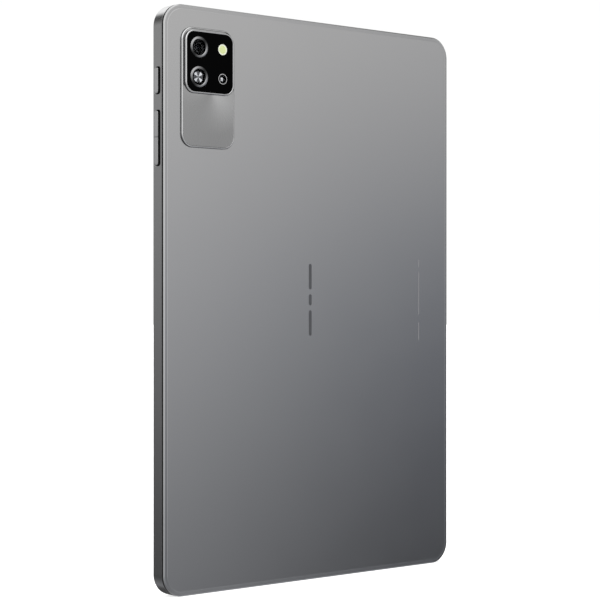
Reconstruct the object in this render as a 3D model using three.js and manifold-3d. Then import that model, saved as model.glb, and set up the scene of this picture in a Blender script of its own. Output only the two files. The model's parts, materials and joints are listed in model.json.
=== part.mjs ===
// A tablet computer of the 11-inch class, 258 mm tall, 169 mm wide and 8 mm thick, drawn as it comes apart
// on a bench: an aluminium frame and back cover, the laminated display, the camera island, the keys and
// their switches, the card tray, the boards, the battery cells, the speakers and the flexes between them.
//
// Every piece is drawn in the body's own frame, in millimetres: X across the width, Y from the screen
// towards the back, Z up the height. X = 0 and Y = 0 run through the middle of the body, and Z = 0 is
// its bottom edge. The last section moves the whole body so that the origin is below the middle of its box.
import * as THREE from 'three';
import { mergeVertices } from 'three/addons/utils/BufferGeometryUtils.js';
import Module from 'manifold-3d';

const wasm = await Module();
wasm.setup();

// ---------------------------------------------------------------- driving dimensions

const WIDTH = 169.3;
const HEIGHT = 258;
const CORNER_R = 9.8;
const SCREEN_Y = -4; // outer face of the cover glass
const BACK_Y = 4; // outer face of the back cover
const SIDE = WIDTH / 2;
const MIDDLE_Z = HEIGHT / 2;

// The frame: a flat-sided band with a plate across its middle.
const WALL = 1.8;
const FRAME_BACK_Y = 2.85;
const FRAME_EDGE = 0.3; // chamfer along both edges of the band
const PLATE_FRONT_Y = -0.8;
const PLATE_BACK_Y = -0.2;
const LEDGE_Y = -3.1; // step that carries the cover glass
const LEDGE_INSET = 0.9;
const BAND_Y = (SCREEN_Y + FRAME_BACK_Y) / 2; // middle of the flat side band

// The display stack.
const GLASS_INSET = 1; // from the band's outside to the glass
const GLASS_THICK = 0.7;
const GLUE_INSET = 2;
const PANEL_WIDTH = 153.2;
const PANEL_HEIGHT = 240.4;
const PANEL_R = 1.2;
const PANEL_GAP = 0.35;
const LCD = { y0: -3.25, y1: -2.15 };
const BACKLIGHT = { y0: -2.1, y1: -1.15 };
const FRONT_CAMERA_X = 80;
const FRONT_CAMERA_SIZE = 4.2;
const FRONT_CAMERA = { y0: -2.2, y1: 0.6, snoutY: -3.2, snoutR: 1.5, holeR: 0.8 };
const DISPLAY_FLEX = { x0: -56, x1: -40, z0: 204.6, z1: 208.6, thick: 0.15 };

// The back cover: a thin plate with a rim that stands over the band, and a seam between the two.
const COVER_INSET = 0.05;
const COVER_RIM_Y = 3.5;
const COVER_PLATE_Y = 3.2;
const COVER_STEP = WALL + 0.15;
const COVER_EDGE = { width: 0.9, depth: 0.28 };
const CLIP_Z = [30, 72, 114, 156];
const CLIP = { y0: 2.2, half: 4, thick: 0.6, gap: 0.25 };
const SEAM_INSET = 0.5;
const SEAM_WIDTH = 1.2;

// The camera island, with its two tall lenses on the key side.
const ISLAND_X = 61.375;
const ISLAND_WIDTH = 28.45;
const ISLAND_HEIGHT = 52.3;
const ISLAND_TOP_Z = 248.3;
const ISLAND_Z = ISLAND_TOP_Z - ISLAND_HEIGHT / 2;
const ISLAND_R = 5.8;
const ISLAND_Y = 5; // top of the island's rim
const ISLAND_EDGE = 0.25;
const RIM = 0.5; // width of the island's rim
const RECESS_Y = 3.6; // floor of the shallow recess in the cover that seats the island
const POCKET_Y = 4.55; // floor of the pocket inside the island's rim
const MODULE_Y = 5.9; // top of the raised frame round the black window
const MODULE_EDGE = 0.2;
const MODULE_RIM = 0.7;
const WINDOW_X = 61.1;
const WINDOW_Z = 233.4;
const WINDOW_WIDTH = 24.8;
const WINDOW_HEIGHT = 26.2;
const WINDOW_R = 4;
const WINDOW_SEAT_Y = 5.1;
const WINDOW_Y = 5.85;
const LENS_X = WINDOW_X + 6;
const SMALL_X = WINDOW_X - 6.75; // flash and light sensor
const UPPER_Z = 239.75;
const LOWER_Z = 226.75;
const LENS_RING_R = 4.65;
const LENS_R = 3.5;
const LENS_HOLE_R = 4.2;
const LENS_Y = 6.1; // top of the lens rings
const FLASH_R = 2.4;
const FLASH_HOLE_R = 2.2;
const FLASH_Y = 5.88;
const SENSOR_RING_R = 2.4;
const SENSOR_R = 1.95;
const SENSOR_Y = 5.95;
const COVER_LENS = { y0: 5.25, y1: 5.75 }; // the clear covers of the two lenses
const SENSOR_LENS = { y0: 5.2, y1: 5.7 };

// The modules behind the island. The autofocus barrel slides in the main housing.
const MODULE_FLOOR_Y = -0.1;
const MAIN_CAMERA = { size: 9.5, top: 3.5, bore: 3.3, boreY: 0.8 };
const BARREL = { r: 3.1, y0: 1, y1: 4.6, mouthR: 1.9, mouthY: 4 };
const SECOND_CAMERA = { size: 8.4, top: 3.4, r: 3.1, y1: 4.9, mouthR: 1.9, mouthY: 4.3 };
const LED = { size: 4.4, domeSize: 3 };
const SENSOR = { size: 4, snoutR: 1.5 };
const SMALL_MODULE = { y0: 1.2, y1: 3.2, tip: 4.9 };

// Keys on the +X side. Each sits in a slot that is wider on the back's side, where a dark groove shows.
const KEY_PROUD = 0.4;
const KEY_Y = SCREEN_Y + 2.9;
const KEY_WIDTH = 3;
const KEY_R = 1.2;
const KEY_GAP = 0.3;
const KEY_GROOVE = 0.85;
const POWER_Z = 224.4;
const POWER_LENGTH = 11.4;
const VOLUME_Z = 199.4;
const VOLUME_LENGTH = 23.8;
const VOLUME_ARM = 9; // from the rocker's middle to each of its switches
const NOTCH = 1.9; // dip in the middle of the volume rocker
const NOTCH_DEPTH = 0.2;
const WING = 1.2; // how far a key's wings reach past its slot
const WING_THICK = 0.65;
const KEY_EDGE = 0.25;
const NUB_R = 0.8;
const FULCRUM_X = 81; // tip of the pillar that the volume rocker tilts on
const FULCRUM_HALF = 0.8;
const KEY_POCKET = { x0: 78.5, x1: SIDE - WALL, y0: -2.9, z0: 184, z1: 234 };
const SWITCH = { x0: 79.6, x1: 80.9, well: 79.85, width: 2.6, height: 3.4, wellR: 0.95 };
const PLUNGER_R = 0.75;
const KEY_FLEX = { x0: 79.3, x1: 79.52, y0: -2.6, y1: 0.12, z0: 186, z1: 230 };
const KEY_FLEX_TAIL = { x0: 55, y0: -0.06, z0: 211, z1: 215 };

// Card tray on the -X side.
const TRAY_Z = 222;
const TRAY_Y = 0.6;
const TRAY_CAP_LENGTH = 14.9;
const TRAY_CAP_WIDTH = 2.2;
const TRAY_CAP_DEPTH = 1.5;
const TRAY_TOP = -SIDE + 0.03; // outer face of the tray's cap, level with the band
const TRAY_END = -60;
const TRAY_WIDTH = 13;
const TRAY_BODY = { y0: 0.9, y1: 1.7 };
const TRAY_WALL = 0.7;
const CARD_X = [-80.6, -70.6]; // where the window under each card starts
const CARD_LENGTH = 8.9;
const PIN_R = 0.45;
const PIN = { y: TRAY_Y - 0.4, z: TRAY_Z + 5.6 };
const CARD_SHELL = { x0: -79.5, x1: -57.5, y0: 0.3, y1: 2.3, half: 9 };
const CARD_BORE = { end: -59.3, y0: 0.65, y1: 1.98 };

// Charging socket in the middle of the bottom edge.
const SOCKET_WIDTH = 8.94;
const SOCKET_THICK = 3.16;
const SOCKET_WALL = 0.3;
const SOCKET = { z0: 0.35, z1: 7, bore: 6.2 };
const SOCKET_POCKET = { half: 5.6, y0: -2.5, z1: 7.8 };
const TONGUE = { half: 3.3, halfThick: 0.35, z0: 1.1, z1: 6.15 };
const MIC_X = 14;
const MIC = { half: 1.6, y0: 0.15, y1: 1.22, z0: 3.1, z1: 5.9, holeR: 0.5 };

// Boards, the cans on them and the flexes between them.
const BOARD_THICK = 0.8;
const MAIN_BOARD_Y = 0.35;
const MAIN_BOARD = { x0: -78, x1: 60.5, z0: 209, z1: 246.5 };
const USB_BOARD_Y = 1.3;
const USB_BOARD = { half: 24, z0: 3, z1: 24 };
const CAN_Y = 2.8;
const CAN_SHEET = 0.2;
const PROCESSOR_CAN = { x0: -30, x1: -2, z0: 215, z1: 241 };
const RADIO_CAN = { x0: 6, x1: 34, z0: 215, z1: 237 };
const PROCESSOR = { x0: -23, x1: -9, y0: 1.2, y1: 2.3, z0: 221, z1: 235 };
const BOSS_R = 1.8;
const PILOT_R = 0.78;
const SCREW = { headR: 1.3, headTall: 0.5, shankR: 0.65 };
// Places of the board screws, with the height of the boss under each board.
const SCREWS = [
  { name: 'main_board_screw_left', x: -50, z: 243, under: MAIN_BOARD_Y },
  { name: 'main_board_screw_right', x: 40, z: 243, under: MAIN_BOARD_Y },
  { name: 'usb_board_screw_left', x: -20, z: 12, under: USB_BOARD_Y },
  { name: 'usb_board_screw_right', x: 20, z: 12, under: USB_BOARD_Y },
];
const MAIN_FLEX = { half: 8, thick: 0.14 };

// Battery.
const CELL = { inner: 2, outer: 76, z0: 30, z1: 203.8, y0: -0.12, y1: 2.85, r: 2, edge: 0.4 };
const BATTERY_BOARD = { half: 38, y0: -0.12, y1: 1.1, z0: 204.3, z1: 207.8 };

// Speakers: a row of slots in the edge, a dust mesh behind it and the speaker's box.
const SPEAKER_X = 60;
const SPEAKERS = [
  { name: 'top_right', x: SPEAKER_X, top: true },
  { name: 'top_left', x: -SPEAKER_X, top: true },
  { name: 'bottom_right', x: SPEAKER_X, top: false },
  { name: 'bottom_left', x: -SPEAKER_X, top: false },
];
const SPEAKER_SLOTS = 7;
const SPEAKER_PITCH = 3.6;
const SPEAKER_SLOT = { long: 2.6, wide: 1.4, deep: 2.4 };
const PORT_HALF = (SPEAKER_SLOTS * SPEAKER_PITCH) / 2 + 0.6;
const PORT_DEPTH = 4.6;
const PORT_Y = -1.6;
const MESH = { half: 13, below: 1, above: 1.4, near: 0.1, far: 0.35 };
const SPEAKER = { width: 31, r: 1.5, y0: -0.1, y1: 2.9, mouth: 22, mouthY: 2.6, margin: 1.2 };
const SPEAKER_Z = { top: [246.9, 253.1], bottom: [4.9, 14.9] };

// ---------------------------------------------------------------- materials

function finish(color, roughness, metalness) {
  return new THREE.MeshStandardMaterial({ color, roughness, metalness });
}

const anodised = finish(0x8b8e90, 0.35, 1);
const coated = finish(0x84878d, 0.4, 0.8);
const polished = finish(0xc9cbcc, 0.15, 1);
const brushed = finish(0x9a9b9c, 0.3, 1);
const blackGlass = finish(0x050506, 0.05, 0);
const lensGlass = finish(0x10131a, 0.03, 0);
const clearGlass = finish(0xe6f0c0, 0.1, 0);
const blackPlastic = finish(0x141414, 0.5, 0);
const darkRubber = finish(0x0c0c0d, 0.7, 0);
const panelDark = finish(0x0a0b0e, 0.2, 0);
const whitePlastic = finish(0xdcdcd8, 0.5, 0);
const steel = finish(0xb4b6b8, 0.3, 1);
const boardMask = finish(0x14301f, 0.45, 0);
const polyimide = finish(0x8a4a14, 0.4, 0.1);
const pouch = finish(0x30343a, 0.45, 0.3);
const chip = finish(0x18191b, 0.5, 0);

// ---------------------------------------------------------------- shapes and solids

// An outline is drawn in (x, z) for a piece extruded along Y, in (y, z) along X and in (x, y) along Z.
const TO_WORLD = {
  x: new THREE.Matrix4().makeBasis(
    new THREE.Vector3(0, 1, 0), new THREE.Vector3(0, 0, 1), new THREE.Vector3(1, 0, 0)),
  y: new THREE.Matrix4().makeBasis(
    new THREE.Vector3(1, 0, 0), new THREE.Vector3(0, 0, 1), new THREE.Vector3(0, -1, 0)),
  z: new THREE.Matrix4(),
};

function roundedRect(width, height, radius, a = 0, b = 0) {
  const shape = new THREE.Shape();
  const w = width / 2 - radius;
  const h = height / 2 - radius;
  shape.absarc(a + w, b + h, radius, 0, Math.PI / 2, false);
  shape.absarc(a - w, b + h, radius, Math.PI / 2, Math.PI, false);
  shape.absarc(a - w, b - h, radius, Math.PI, 1.5 * Math.PI, false);
  shape.absarc(a + w, b - h, radius, 1.5 * Math.PI, 2 * Math.PI, false);
  shape.closePath();
  return shape;
}

// A slot with round ends, its length along the outline's first or second axis.
function capsule(alongA, alongB, a = 0, b = 0) {
  const radius = Math.min(alongA, alongB) / 2;
  const reach = Math.max(alongA, alongB) / 2 - radius;
  const shape = new THREE.Shape();
  const turn = alongA > alongB ? -Math.PI / 2 : 0;
  const ca = reach * Math.cos(turn + Math.PI / 2);
  const cb = reach * Math.sin(turn + Math.PI / 2);
  shape.absarc(a + ca, b + cb, radius, turn, turn + Math.PI, false);
  shape.absarc(a - ca, b - cb, radius, turn + Math.PI, turn + 2 * Math.PI, false);
  shape.closePath();
  return shape;
}

function circle(radius, a = 0, b = 0) {
  return capsule(2 * radius, 2 * radius, a, b);
}

// A strip of even thickness that follows a line of points, for a flex bent to its route.
function ribbon(points, thickness) {
  const line = points.map(([a, b]) => new THREE.Vector2(a, b));
  const offset = (side) => line.map((point, i) => {
    const before = line[Math.max(i - 1, 0)];
    const after = line[Math.min(i + 1, line.length - 1)];
    const inward = point.clone().sub(i ? before : point.clone().sub(after).add(point)).normalize();
    const outward = (i < line.length - 1 ? after.clone().sub(point) : inward.clone()).normalize();
    const along = inward.add(outward).normalize();
    const miter = Math.abs(along.dot(outward));
    return new THREE.Vector2(-along.y, along.x).multiplyScalar((side * thickness) / 2 / miter).add(point);
  });
  return new THREE.Shape([...offset(-1), ...offset(1).reverse()]);
}

// Extrudes an outline along an axis, with its ends at `from` and `to`. `edge` chamfers both ends.
function extrude(shape, axis, from, to, { edge = 0, edgeDepth = edge, segments = 3, edgeSteps = 1 } = {}) {
  const depth = to - from - 2 * edgeDepth;
  const geometry = new THREE.ExtrudeGeometry(shape, {
    depth,
    curveSegments: segments,
    bevelEnabled: edge > 0,
    bevelSize: edge,
    bevelOffset: -edge,
    bevelThickness: edgeDepth,
    bevelSegments: edgeSteps,
  });
  geometry.applyMatrix4(TO_WORLD[axis]);
  const start = axis === 'y' ? to - edgeDepth : from + edgeDepth;
  return geometry.translate(...['x', 'y', 'z'].map((name) => (name === axis ? start : 0)));
}

function box(x0, x1, y0, y1, z0, z1) {
  return new THREE.BoxGeometry(x1 - x0, y1 - y0, z1 - z0)
    .translate((x0 + x1) / 2, (y0 + y1) / 2, (z0 + z1) / 2);
}

function solid(piece) {
  if (!piece.isBufferGeometry) return piece;
  const bare = piece.clone();
  bare.deleteAttribute('normal');
  bare.deleteAttribute('uv');
  const merged = mergeVertices(bare, 1e-4);
  return new wasm.Manifold(new wasm.Mesh({
    numProp: 3,
    vertProperties: new Float32Array(merged.attributes.position.array),
    triVerts: new Uint32Array(merged.index.array),
  }));
}

function cut(piece, ...tools) {
  return tools.reduce((left, tool) => left.subtract(solid(tool)), solid(piece));
}

function join(piece, ...others) {
  return others.reduce((left, other) => left.add(solid(other)), solid(piece));
}

// Chamfers only the end at `to`: an extrusion that starts lower, cut off at `from`.
function extrudeOneEdge(shape, axis, from, to, options) {
  const below = 2 * (to - from);
  const whole = extrude(shape, axis, from - below, to, options);
  const far = 2 * HEIGHT;
  const keep = axis === 'y'
    ? box(-far, far, from, to + far, -far, far)
    : box(from, to + far, -far, far, -far, far);
  return solid(whole).intersect(solid(keep));
}

function geometryOf(piece) {
  if (piece.isBufferGeometry) return piece;
  const mesh = piece.getMesh();
  const geometry = new THREE.BufferGeometry();
  geometry.setAttribute('position', new THREE.BufferAttribute(mesh.vertProperties, 3));
  geometry.setIndex(new THREE.BufferAttribute(mesh.triVerts, 1));
  geometry.computeVertexNormals();
  return geometry;
}

const body = new THREE.Group();

function part(name, piece, material) {
  const mesh = new THREE.Mesh(geometryOf(piece), material);
  mesh.name = name;
  body.add(mesh);
}

const ROUND = { segments: 6 }; // 12 steps to a quarter turn, for the body's own corners
const FINE = { segments: 5 };

const BEYOND = 1; // how far a cutting tool reaches past the face it cuts
const FIT = 0.2; // gap round a piece that shows in an opening of the band

// The body's own outline drawn in by `inset`, extruded along Y.
function bodyPlate(inset, from, to, options = {}) {
  const outline = roundedRect(WIDTH - 2 * inset, HEIGHT - 2 * inset, CORNER_R - inset, 0, MIDDLE_Z);
  return extrude(outline, 'y', from, to, { ...ROUND, ...options });
}

// ---------------------------------------------------------------- frame

function speakerSlots({ x, top }) {
  const { long, wide, deep } = SPEAKER_SLOT;
  const [from, to] = top ? [HEIGHT - deep, HEIGHT + BEYOND] : [-BEYOND, deep];
  const first = x - ((SPEAKER_SLOTS - 1) * SPEAKER_PITCH) / 2;
  return Array.from({ length: SPEAKER_SLOTS }, (_, i) =>
    extrude(capsule(long, wide, first + i * SPEAKER_PITCH, BAND_Y), 'z', from, to, { segments: 2 }));
}

// The hollow behind a row of slots, where the dust mesh and the speaker's mouth meet.
function speakerPort({ x, top }) {
  const [from, to] = top ? [HEIGHT - PORT_DEPTH, HEIGHT - WALL] : [WALL, PORT_DEPTH];
  return box(x - PORT_HALF, x + PORT_HALF, PORT_Y, FRAME_BACK_Y + BEYOND, from, to);
}

function keySlot(length, z) {
  const width = KEY_WIDTH + KEY_GAP + KEY_GROOVE;
  const middle = KEY_Y + (KEY_GROOVE - KEY_GAP) / 2;
  const outline = roundedRect(width, length + 2 * KEY_GAP, KEY_R + KEY_GAP / 2, middle, z);
  return extrude(outline, 'x', SIDE - WALL - BEYOND, SIDE + BEYOND);
}

const bossSolids = SCREWS.map(({ x, z, under }) =>
  extrude(circle(BOSS_R, x, z), 'y', PLATE_BACK_Y - 0.1, under - 0.05, FINE));
const pilotHoles = SCREWS.map(({ x, z, under }) =>
  extrude(circle(PILOT_R, x, z), 'y', PLATE_FRONT_Y + 0.15, under + BEYOND));

const band = bodyPlate(0, SCREEN_Y, FRAME_BACK_Y, { edge: FRAME_EDGE });
const frameShell = cut(
  band,
  bodyPlate(LEDGE_INSET, SCREEN_Y - BEYOND, LEDGE_Y),
  extrude(
    roundedRect(PANEL_WIDTH + 2 * PANEL_GAP, PANEL_HEIGHT + 2 * PANEL_GAP, PANEL_R + PANEL_GAP, 0, MIDDLE_Z),
    'y', LEDGE_Y - 0.5, PLATE_FRONT_Y),
  bodyPlate(WALL, PLATE_BACK_Y, FRAME_BACK_Y + BEYOND),
);
const TRAY_SLOT = capsule(TRAY_CAP_WIDTH + 2 * FIT, TRAY_CAP_LENGTH + 2 * FIT, TRAY_Y, TRAY_Z);

part('mid_frame', cut(
  join(frameShell, ...bossSolids),
  ...pilotHoles,
  cut(
    box(KEY_POCKET.x0, KEY_POCKET.x1, KEY_POCKET.y0, FRAME_BACK_Y + BEYOND, KEY_POCKET.z0, KEY_POCKET.z1),
    box(
      KEY_POCKET.x0 - BEYOND, FULCRUM_X, KEY_Y - FULCRUM_HALF, KEY_Y + FULCRUM_HALF,
      VOLUME_Z - FULCRUM_HALF, VOLUME_Z + FULCRUM_HALF)),
  keySlot(POWER_LENGTH, POWER_Z),
  keySlot(VOLUME_LENGTH, VOLUME_Z),
  extrude(TRAY_SLOT, 'x', -SIDE - BEYOND, -SIDE + WALL + BEYOND),
  extrude(
    capsule(SOCKET_WIDTH + 2 * FIT, SOCKET_THICK + 2 * FIT, 0, BAND_Y), 'z', -BEYOND, WALL + BEYOND, FINE),
  box(
    -SOCKET_POCKET.half, SOCKET_POCKET.half, SOCKET_POCKET.y0, FRAME_BACK_Y + BEYOND, WALL, SOCKET_POCKET.z1),
  ...SPEAKERS.flatMap(speakerSlots),
  ...SPEAKERS.map(speakerPort),
  extrude(circle(MIC.holeR, MIC_X, BAND_Y), 'z', -BEYOND, WALL + BEYOND),
  box(MIC_X - 2 * MIC.holeR, MIC_X + 2 * MIC.holeR, -1, FRAME_BACK_Y + BEYOND, WALL, MIC.z0 - 0.1),
  box(
    FRONT_CAMERA_X - FRONT_CAMERA_SIZE / 2 - 0.3, FRONT_CAMERA_X + FRONT_CAMERA_SIZE / 2 + 0.3,
    LEDGE_Y - 0.5, FRONT_CAMERA.y1 + 0.4,
    MIDDLE_Z - FRONT_CAMERA_SIZE / 2 - 0.5, MIDDLE_Z + FRONT_CAMERA_SIZE / 2 + 0.5),
  box(
    DISPLAY_FLEX.x0 - 0.5, DISPLAY_FLEX.x1 + 0.5, PLATE_FRONT_Y - 0.1, PLATE_BACK_Y + 0.1,
    DISPLAY_FLEX.z0, DISPLAY_FLEX.z1),
), anodised);

// ---------------------------------------------------------------- back cover and its seam

const coverClips = CLIP_Z.flatMap((z) => [-1, 1].map((side) => {
  const outer = side * (SIDE - WALL - CLIP.gap);
  const inner = outer - side * CLIP.thick;
  return box(
    Math.min(inner, outer), Math.max(inner, outer), CLIP.y0, COVER_PLATE_Y + 0.1,
    z - CLIP.half, z + CLIP.half);
}));

part('rear_cover', cut(
  join(
    extrudeOneEdge(
      roundedRect(WIDTH - 2 * COVER_INSET, HEIGHT - 2 * COVER_INSET, CORNER_R - COVER_INSET, 0, MIDDLE_Z),
      'y', COVER_RIM_Y, BACK_Y, { ...ROUND, edge: COVER_EDGE.width, edgeDepth: COVER_EDGE.depth }),
    bodyPlate(COVER_STEP, COVER_PLATE_Y, COVER_RIM_Y + 0.1),
    ...coverClips,
  ),
  extrude(
    roundedRect(ISLAND_WIDTH + 0.3, ISLAND_HEIGHT + 0.3, ISLAND_R + 0.15, ISLAND_X, ISLAND_Z),
    'y', RECESS_Y, BACK_Y + BEYOND, FINE),
  extrude(
    roundedRect(WINDOW_WIDTH - 0.4, WINDOW_HEIGHT - 1, WINDOW_R / 2, WINDOW_X, WINDOW_Z),
    'y', COVER_PLATE_Y - BEYOND, BACK_Y + BEYOND),
), coated);

const SEAM_INNER = SEAM_INSET + SEAM_WIDTH;
const seam = roundedRect(WIDTH - 2 * SEAM_INSET, HEIGHT - 2 * SEAM_INSET, CORNER_R - SEAM_INSET, 0, MIDDLE_Z);
seam.holes.push(
  roundedRect(WIDTH - 2 * SEAM_INNER, HEIGHT - 2 * SEAM_INNER, CORNER_R - SEAM_INNER, 0, MIDDLE_Z));
part('seam_gasket', extrude(seam, 'y', FRAME_BACK_Y + 0.03, COVER_RIM_Y - 0.03, ROUND), darkRubber);

// ---------------------------------------------------------------- display

part('cover_glass', bodyPlate(GLASS_INSET, SCREEN_Y, SCREEN_Y + GLASS_THICK, { edge: 0.15 }), blackGlass);

const glue = roundedRect(WIDTH - 2 * GLUE_INSET, HEIGHT - 2 * GLUE_INSET, CORNER_R - GLUE_INSET, 0, MIDDLE_Z);
glue.holes.push(roundedRect(PANEL_WIDTH + 2, PANEL_HEIGHT + 2, PANEL_R + PANEL_GAP, 0, MIDDLE_Z));
glue.holes.push(circle(FRONT_CAMERA.snoutR + 0.1, FRONT_CAMERA_X, MIDDLE_Z));
part('glass_adhesive', extrude(glue, 'y', SCREEN_Y + GLASS_THICK + 0.03, LEDGE_Y - 0.03), blackPlastic);

const panelOutline = roundedRect(PANEL_WIDTH, PANEL_HEIGHT, PANEL_R, 0, MIDDLE_Z);
part('lcd_cell', extrude(panelOutline, 'y', LCD.y0, LCD.y1), panelDark);
part('backlight_unit', extrude(panelOutline, 'y', BACKLIGHT.y0, BACKLIGHT.y1), whitePlastic);

// From the foot of the panel, through the slit in the frame's plate, onto the main board.
const DISPLAY_FLEX_LINE = [[-1, 160], [-1, 205.2], [-0.5, 206.2], [1, 207.4], [1.5, 208.4], [1.5, 213]];
part('display_flex', extrude(
  ribbon(DISPLAY_FLEX_LINE, DISPLAY_FLEX.thick), 'x', DISPLAY_FLEX.x0, DISPLAY_FLEX.x1), polyimide);

part('front_camera', cut(
  join(
    box(
      FRONT_CAMERA_X - FRONT_CAMERA_SIZE / 2, FRONT_CAMERA_X + FRONT_CAMERA_SIZE / 2,
      FRONT_CAMERA.y0, FRONT_CAMERA.y1,
      MIDDLE_Z - FRONT_CAMERA_SIZE / 2, MIDDLE_Z + FRONT_CAMERA_SIZE / 2),
    extrude(
      circle(FRONT_CAMERA.snoutR, FRONT_CAMERA_X, MIDDLE_Z),
      'y', FRONT_CAMERA.snoutY, FRONT_CAMERA.y0 + 0.1, FINE),
  ),
  extrude(
    circle(FRONT_CAMERA.holeR, FRONT_CAMERA_X, MIDDLE_Z), 'y', SCREEN_Y, FRONT_CAMERA.snoutY + 0.2, FINE),
), blackPlastic);

// ---------------------------------------------------------------- camera island

const moduleOutline = (grow) => roundedRect(
  WINDOW_WIDTH + 2 * MODULE_RIM + grow, WINDOW_HEIGHT + 2 * MODULE_RIM + grow,
  WINDOW_R + MODULE_RIM + grow / 2, WINDOW_X, WINDOW_Z);
const pocketOutline = (grow) => roundedRect(
  ISLAND_WIDTH - 2 * RIM + grow, ISLAND_HEIGHT - 2 * RIM + grow,
  ISLAND_R - RIM + grow / 2, ISLAND_X, ISLAND_Z);
const windowOutline = (grow) => roundedRect(
  WINDOW_WIDTH + grow, WINDOW_HEIGHT + grow, WINDOW_R + grow / 2, WINDOW_X, WINDOW_Z);

// A round hole through the island, at one of its four optics.
const islandHole = (radius, x, z) => extrude(
  circle(radius, x, z), 'y', RECESS_Y - BEYOND, LENS_Y + BEYOND, FINE);

const islandBase = cut(
  extrudeOneEdge(
    roundedRect(ISLAND_WIDTH, ISLAND_HEIGHT, ISLAND_R, ISLAND_X, ISLAND_Z),
    'y', RECESS_Y + 0.05, ISLAND_Y, { ...FINE, edge: ISLAND_EDGE }),
  extrude(pocketOutline(0), 'y', POCKET_Y, ISLAND_Y + BEYOND, FINE));
const moduleFrame = extrudeOneEdge(
  moduleOutline(0), 'y', POCKET_Y - 0.2, MODULE_Y, { ...FINE, edge: MODULE_EDGE });

part('camera_island', cut(
  join(islandBase, moduleFrame),
  extrude(windowOutline(0.1), 'y', WINDOW_SEAT_Y, MODULE_Y + BEYOND, FINE),
  islandHole(LENS_HOLE_R, LENS_X, UPPER_Z),
  islandHole(LENS_HOLE_R, LENS_X, LOWER_Z),
  islandHole(FLASH_HOLE_R, SMALL_X, UPPER_Z),
  islandHole(SENSOR_R, SMALL_X, LOWER_Z),
), polished);

// The brushed field fills the island's pocket below the window, and stops short of the frame's sides.
const FIELD_TOP_Z = WINDOW_Z - WINDOW_HEIGHT / 2 + 2;
const FIELD_SHOULDER = WINDOW_WIDTH / 2 + MODULE_RIM - 1.2;
const PLATE_TOP_Y = ISLAND_Y - 0.05;
part('deco_plate', cut(
  extrude(pocketOutline(-0.1), 'y', POCKET_Y + 0.03, PLATE_TOP_Y, FINE),
  extrude(moduleOutline(0.2), 'y', POCKET_Y - BEYOND, MODULE_Y, FINE),
  box(
    ISLAND_X - ISLAND_WIDTH, ISLAND_X + ISLAND_WIDTH, POCKET_Y - BEYOND, MODULE_Y,
    WINDOW_Z, ISLAND_TOP_Z + BEYOND),
  ...[-1, 1].map((side) => {
    const inner = WINDOW_X + side * FIELD_SHOULDER;
    const outer = inner + side * ISLAND_R;
    return box(
      Math.min(inner, outer), Math.max(inner, outer), POCKET_Y - BEYOND, MODULE_Y, FIELD_TOP_Z, ISLAND_TOP_Z);
  }),
), brushed);

part('camera_window', cut(
  extrude(windowOutline(0), 'y', WINDOW_SEAT_Y + 0.05, WINDOW_Y, FINE),
  islandHole(LENS_RING_R + 0.12, LENS_X, UPPER_Z),
  islandHole(LENS_RING_R + 0.12, LENS_X, LOWER_Z),
  islandHole(FLASH_R + 0.1, SMALL_X, UPPER_Z),
  islandHole(SENSOR_RING_R + 0.1, SMALL_X, LOWER_Z),
), blackGlass);

function lensRing(outer, inner, x, z, top) {
  return cut(
    extrudeOneEdge(circle(outer, x, z), 'y', WINDOW_SEAT_Y + 0.03, top, { ...FINE, edge: 0.15 }),
    islandHole(inner, x, z));
}

for (const [name, z] of [['main', UPPER_Z], ['second', LOWER_Z]]) {
  part(`${name}_lens_ring`, lensRing(LENS_RING_R, LENS_R + 0.1, LENS_X, z, LENS_Y), steel);
  part(`${name}_lens_cover`, extrude(
    circle(LENS_R, LENS_X, z), 'y', COVER_LENS.y0, COVER_LENS.y1, FINE), lensGlass);
}
part('sensor_ring', lensRing(SENSOR_RING_R, SENSOR_R + 0.1, SMALL_X, LOWER_Z, SENSOR_Y), steel);
part('sensor_lens', extrude(
  circle(SENSOR_R, SMALL_X, LOWER_Z), 'y', SENSOR_LENS.y0, SENSOR_LENS.y1, FINE), lensGlass);
part('flash_window', extrude(
  circle(FLASH_R, SMALL_X, UPPER_Z), 'y', WINDOW_SEAT_Y + 0.05, FLASH_Y, FINE), clearGlass);

// A square block of a camera module about (x, z).
const squareBlock = (x, z, size, from, to) =>
  box(x - size / 2, x + size / 2, from, to, z - size / 2, z + size / 2);

part('main_camera_housing', cut(
  squareBlock(LENS_X, UPPER_Z, MAIN_CAMERA.size, MODULE_FLOOR_Y, MAIN_CAMERA.top),
  extrude(
    circle(MAIN_CAMERA.bore, LENS_X, UPPER_Z),
    'y', MAIN_CAMERA.boreY, MAIN_CAMERA.top + BEYOND, FINE)), steel);
part('focus_barrel', cut(
  extrude(circle(BARREL.r, LENS_X, UPPER_Z), 'y', BARREL.y0, BARREL.y1, FINE),
  extrude(
    circle(BARREL.mouthR, LENS_X, UPPER_Z),
    'y', BARREL.mouthY, BARREL.y1 + BEYOND, FINE)), blackPlastic);
part('second_camera', cut(
  join(
    squareBlock(LENS_X, LOWER_Z, SECOND_CAMERA.size, MODULE_FLOOR_Y, SECOND_CAMERA.top),
    extrude(circle(SECOND_CAMERA.r, LENS_X, LOWER_Z), 'y', SECOND_CAMERA.top - 0.1, SECOND_CAMERA.y1, FINE)),
  extrude(
    circle(SECOND_CAMERA.mouthR, LENS_X, LOWER_Z),
    'y', SECOND_CAMERA.mouthY, SECOND_CAMERA.y1 + BEYOND, FINE)), steel);
part('flash_led', join(
  squareBlock(SMALL_X, UPPER_Z, LED.size, SMALL_MODULE.y0, SMALL_MODULE.y1),
  squareBlock(SMALL_X, UPPER_Z, LED.domeSize, SMALL_MODULE.y1 - 0.1, SMALL_MODULE.tip)), clearGlass);
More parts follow.
